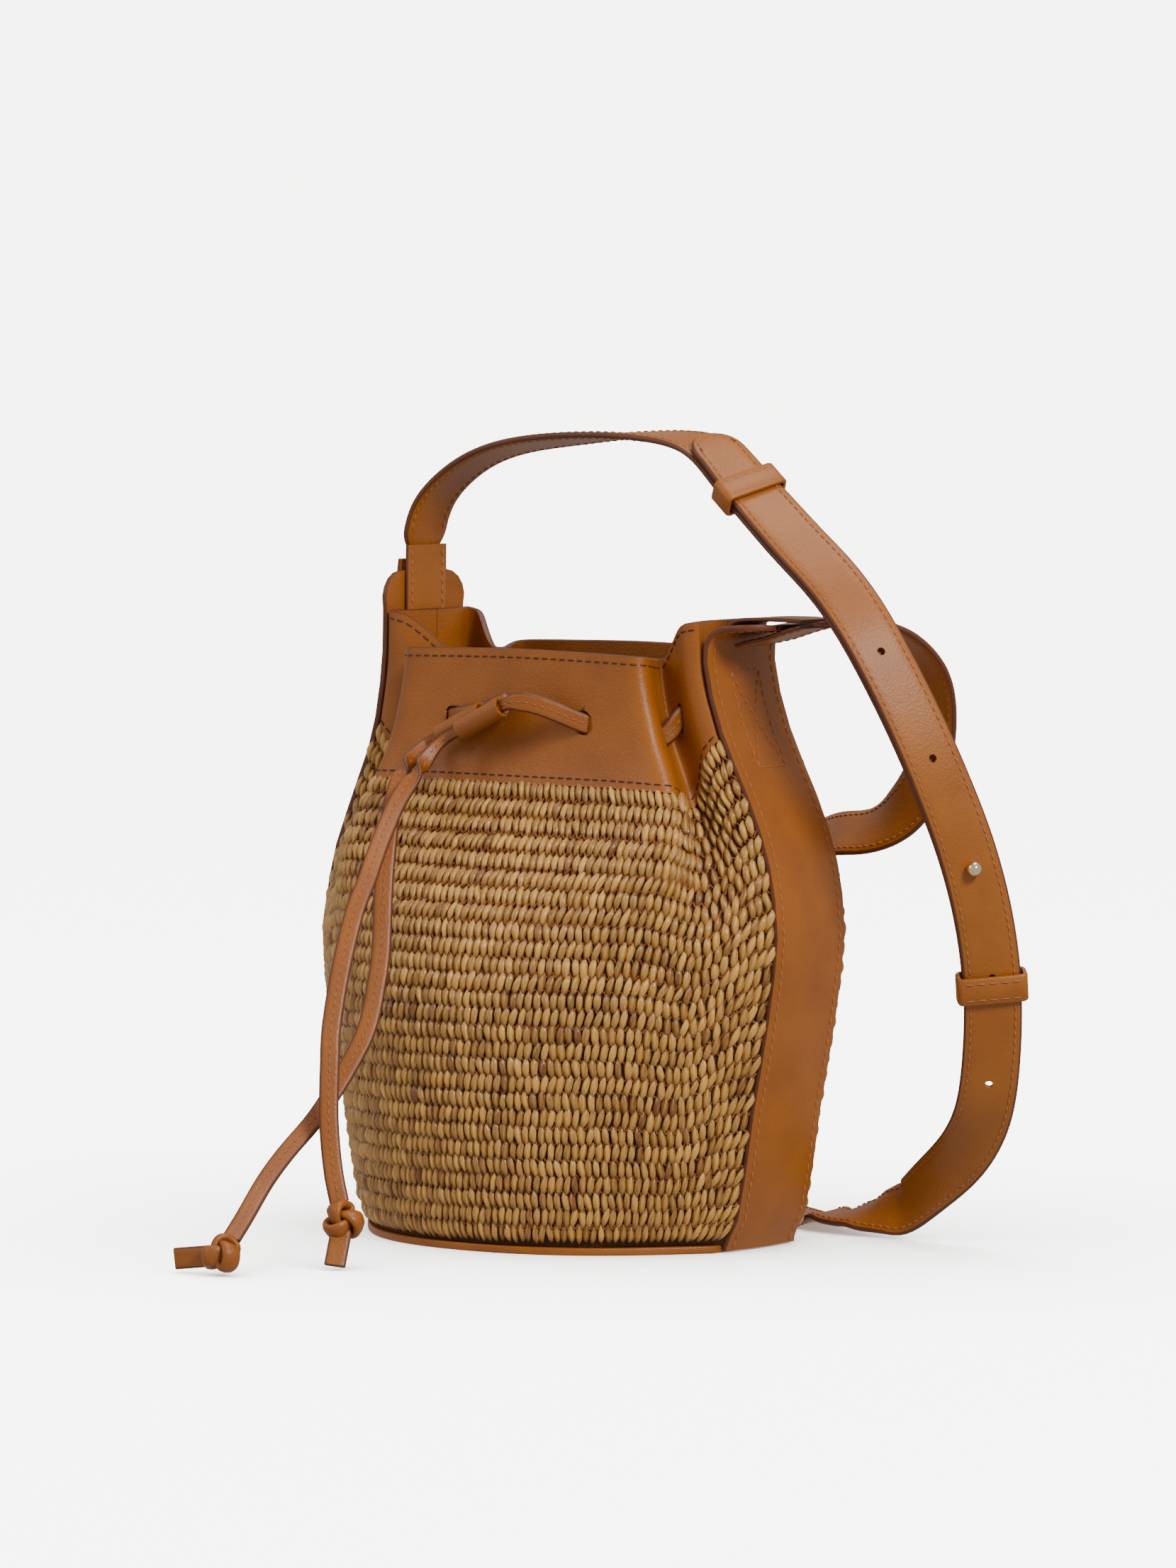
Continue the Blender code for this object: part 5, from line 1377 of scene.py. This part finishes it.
for side, nm in ((-1, "left"), (1, "right")):
    outer, inner = gusset_grid(side)
    O, I = np.array(outer), np.array(inner)
    lines = []
    for col, other in ((2, 3), (-3, -4)):
        a, b = O[:, 1 if col > 0 else -2], O[:, col]
        pts = a * 0.55 + b * 0.45
        pts_i = I[:, 1 if col > 0 else -2] * 0.55 + I[:, col] * 0.45
        nrm = pts - pts_i
        fine_s, _ = resample(np.column_stack([pts[:-3], nrm[:-3]]), 300)
        lines += stitch_line(fine_s[:, :3], fine_s[:, 3:6], 0.0046, 0.72)
    # across the end of the tab
    k = -4
    row = O[k] * 0.5 + O[k - 1] * 0.5
    rown = row - (I[k] * 0.5 + I[k - 1] * 0.5)
    lines += stitch_line(row[2:-2], rown[2:-2], 0.0046, 0.72)
    # reinforcing box below the tab on the right side
    if side > 0:
        def gat(y, z, O=O, I=I):
            j = int(np.clip(np.searchsorted(O[:17, 5, 2], z), 1, 16))
            q = (z - O[j - 1, 5, 2]) / (O[j, 5, 2] - O[j - 1, 5, 2])
            c = O[j - 1] * (1 - q) + O[j] * q
            ci = I[j - 1] * (1 - q) + I[j] * q
            ys = c[:, 1]
            p = np.array([np.interp(y, ys, c[:, i]) for i in range(3)])
            pi = np.array([np.interp(y, ys, ci[:, i]) for i in range(3)])
            return p, p - pi
        z0, z1, h = 0.2075, 0.2480, 0.0098
        for (ya, za), (yb, zb) in (((-h, z0), (h, z0)), ((h, z0), (h, z1)), ((h, z1), (-h, z1)), ((-h, z1), (-h, z0)), ((-h, z0), (h, z1)), ((h, z0), (-h, z1))):
            got = [gat(ya + (yb - ya) * q, za + (zb - za) * q) for q in np.linspace(0, 1, 20)]
            lines += stitch_line([g[0] for g in got], [g[1] for g in got], 0.0042, 0.72)
    add_threads(nm + "_gusset_thread", lines, THREAD_PINK, "bag", "leather")


def ribbon_threads(name, body, inset, skip0=0.0, skip1=0.0, sides=(-1, 1), both=True):
    c, t, w, n, width, thick = FRAMES[name]
    s = np.concatenate([[0], np.cumsum(np.linalg.norm(np.diff(c, axis=0), axis=1))])
    lines = []
    keep = (s > skip0) & (s < s[-1] - skip1)
    for e in sides:
        for f in ((-1, 1) if both else (1,)):
            p = c + w * (e * (width[:, None] / 2 - inset)) + n * (f * thick / 2)
            lines += stitch_line(p[keep], (n * f)[keep], 0.0040, 0.70)
    add_threads(name + "_thread", lines, THREAD_PINK, body, "strap")


ribbon_threads("strap_long", "strap", 0.0030, 0.011)
ribbon_threads("strap_short", "strap", 0.0030, 0.011)
ribbon_threads("strap_ply_left_outer", "bag", 0.0030)
ribbon_threads("strap_ply_left_inner", "bag", 0.0030)
ribbon_threads("strap_ply_right_outer", "bag", 0.0030)
# round the tip of the long strap
c, t, w, n, width, thick = FRAMES["strap_long"]
arc = []
tipc = c[0] + t[2] * 0.0125
for q in np.linspace(-90, 90, 30):
    a = math.radians(q)
    arc.append(tipc - t[2] * math.cos(a) * 0.0095 + w[2] * math.sin(a) * 0.0095 + n[2] * thick / 2)
add_threads("strap_tip_thread", stitch_line(arc, [n[2]] * 30, 0.0040, 0.70), THREAD_PINK, "strap", "strap")
# the thong's centre stitch
for nm_, bd in (("drawstring", "bag"), ("drawstring_tail_a", "bag"), ("drawstring_tail_b", "bag")):
    c, t, w, n, width, thick = FRAMES[nm_]
    lines = []
    for f in (-1, 1):
        lines += stitch_line(c + n * (f * thick / 2), n * f, 0.0036, 0.66)
    v, fc = tube_mesh(lines, 0.0003, 5)
    ob = mesh_object("look_" + nm_ + "_thread", v, fc, THREAD_PINK)
    extra.append((ob, bd, "thong"))


# Keepers' stitches: two rows round each band's outer face
def keeper_threads(name, i, spare, body):
    c, t, w, n = dc[i], dt[i], dw[i], dn[i]
    hi = STRAP_T / 2 + spare + 0.0018
    lines = []
    for off in (-0.0037, 0.0037):
        pts = [c + t * off + w * x + n * hi for x in np.linspace(-0.0125, 0.0125, 16)]
        lines += stitch_line(pts, [n] * 16, 0.0042, 0.7)
    add_threads(name + "_thread", lines, THREAD_PINK, body, "strap")


keeper_threads("keeper_upper", UPPER, 0.0008, "keeper")
keeper_threads("keeper_lower", LOWER, 0.0009, "strap")


# Knots: a real overhand turn of the flat thong, closed on itself
def knot_turn(name, centre, axis, flat_dir, size):
    a = np.array(axis, float)
    a /= np.linalg.norm(a)
    f = np.array(flat_dir, float)
    f -= f.dot(a) * a
    f /= np.linalg.norm(f)
    g = np.cross(a, f)
    k = 160
    path = []
    for i in range(k):
        q = 2 * math.pi * i / k
        x, y, z = math.sin(q) + 2 * math.sin(2 * q), math.cos(q) - 2 * math.cos(2 * q), -math.sin(3 * q)
        path.append(np.array(centre) + (g * x + a * y) * 0.0019 * size + f * z * 0.0027 * size)
    path = np.array(path)
    V, F = [], []
    sides = 12
    for i in range(k):
        t = path[(i + 1) % k] - path[i - 1]
        t /= np.linalg.norm(t)
        out = path[i] - np.array(centre)
        out -= out.dot(t) * t
        out /= np.linalg.norm(out) + 1e-9
        side = np.cross(t, out)
        for j in range(sides):
            an = 2 * math.pi * j / sides
            ca, sa = math.cos(an), math.sin(an)
            V.append(path[i] + out * ca * 0.0017 * size + side * np.sign(sa) * abs(sa) ** 0.8 * 0.0036 * size)
    for i in range(k):
        for j in range(sides):
            b = ((i + 1) % k) * sides
            F.append((i * sides + j, i * sides + (j + 1) % sides, b + (j + 1) % sides, b + j))
    return mesh_object("look_" + name, np.array(V), F, M["thong"])


for nm_, cen, ax, fl in (("knot_a", ka_c, ka_axis, loop_frame(0, 1, 0)), ("knot_b", kb_c, kb_axis, (0, 0, 1.0))):
    old = PIECE[nm_]
    bpy.data.objects.remove(old, do_unlink=True)
    PIECE[nm_] = knot_turn(nm_, cen, ax, fl, 1.22)

# Bake the cuts into each piece and drop the cutters
dg = bpy.context.evaluated_depsgraph_get()
for name, ob in list(PIECE.items()):
    baked = bpy.data.meshes.new_from_object(ob.evaluated_get(dg), preserve_all_data_layers=True, depsgraph=dg)
    baked.transform(ob.matrix_world)
    new = bpy.data.objects.new("look_" + name + "_piece", baked)
    PARTS.objects.link(new)
    PIECE[name] = new
for ob in [o for o in bpy.data.objects if o.name in CUTTERS.objects or (o.name.startswith("look_") and o.name in PARTS.objects and o not in PIECE.values() and o not in [e[0] for e in extra])]:
    bpy.data.objects.remove(ob, do_unlink=True)

SLOT = {s["node"]: s["material_slot"] for s in frame["record"]["subparts"]}
BODY = {"strap_short": "strap", "strap_long": "strap", "keeper_lower": "strap", "stud_ball": "strap", "stud_back": "strap", "keeper_upper": "keeper", "slider": "slider"}
for name, ob in PIECE.items():
    if len(ob.data.materials) == 0:
        ob.data.materials.append(M[SLOT[name]])
    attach(ob, BODY.get(name, "bag"))
    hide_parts(name)
for ob, body, slot in extra:
    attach(ob, body)

for nm_, rows_, kn, en in (("drawstring_tail_a", ra, "knot_a", "tail_end_a"), ("drawstring_tail_b", rb, "knot_b", "tail_end_b")):
    c = FRAMES[nm_][0]
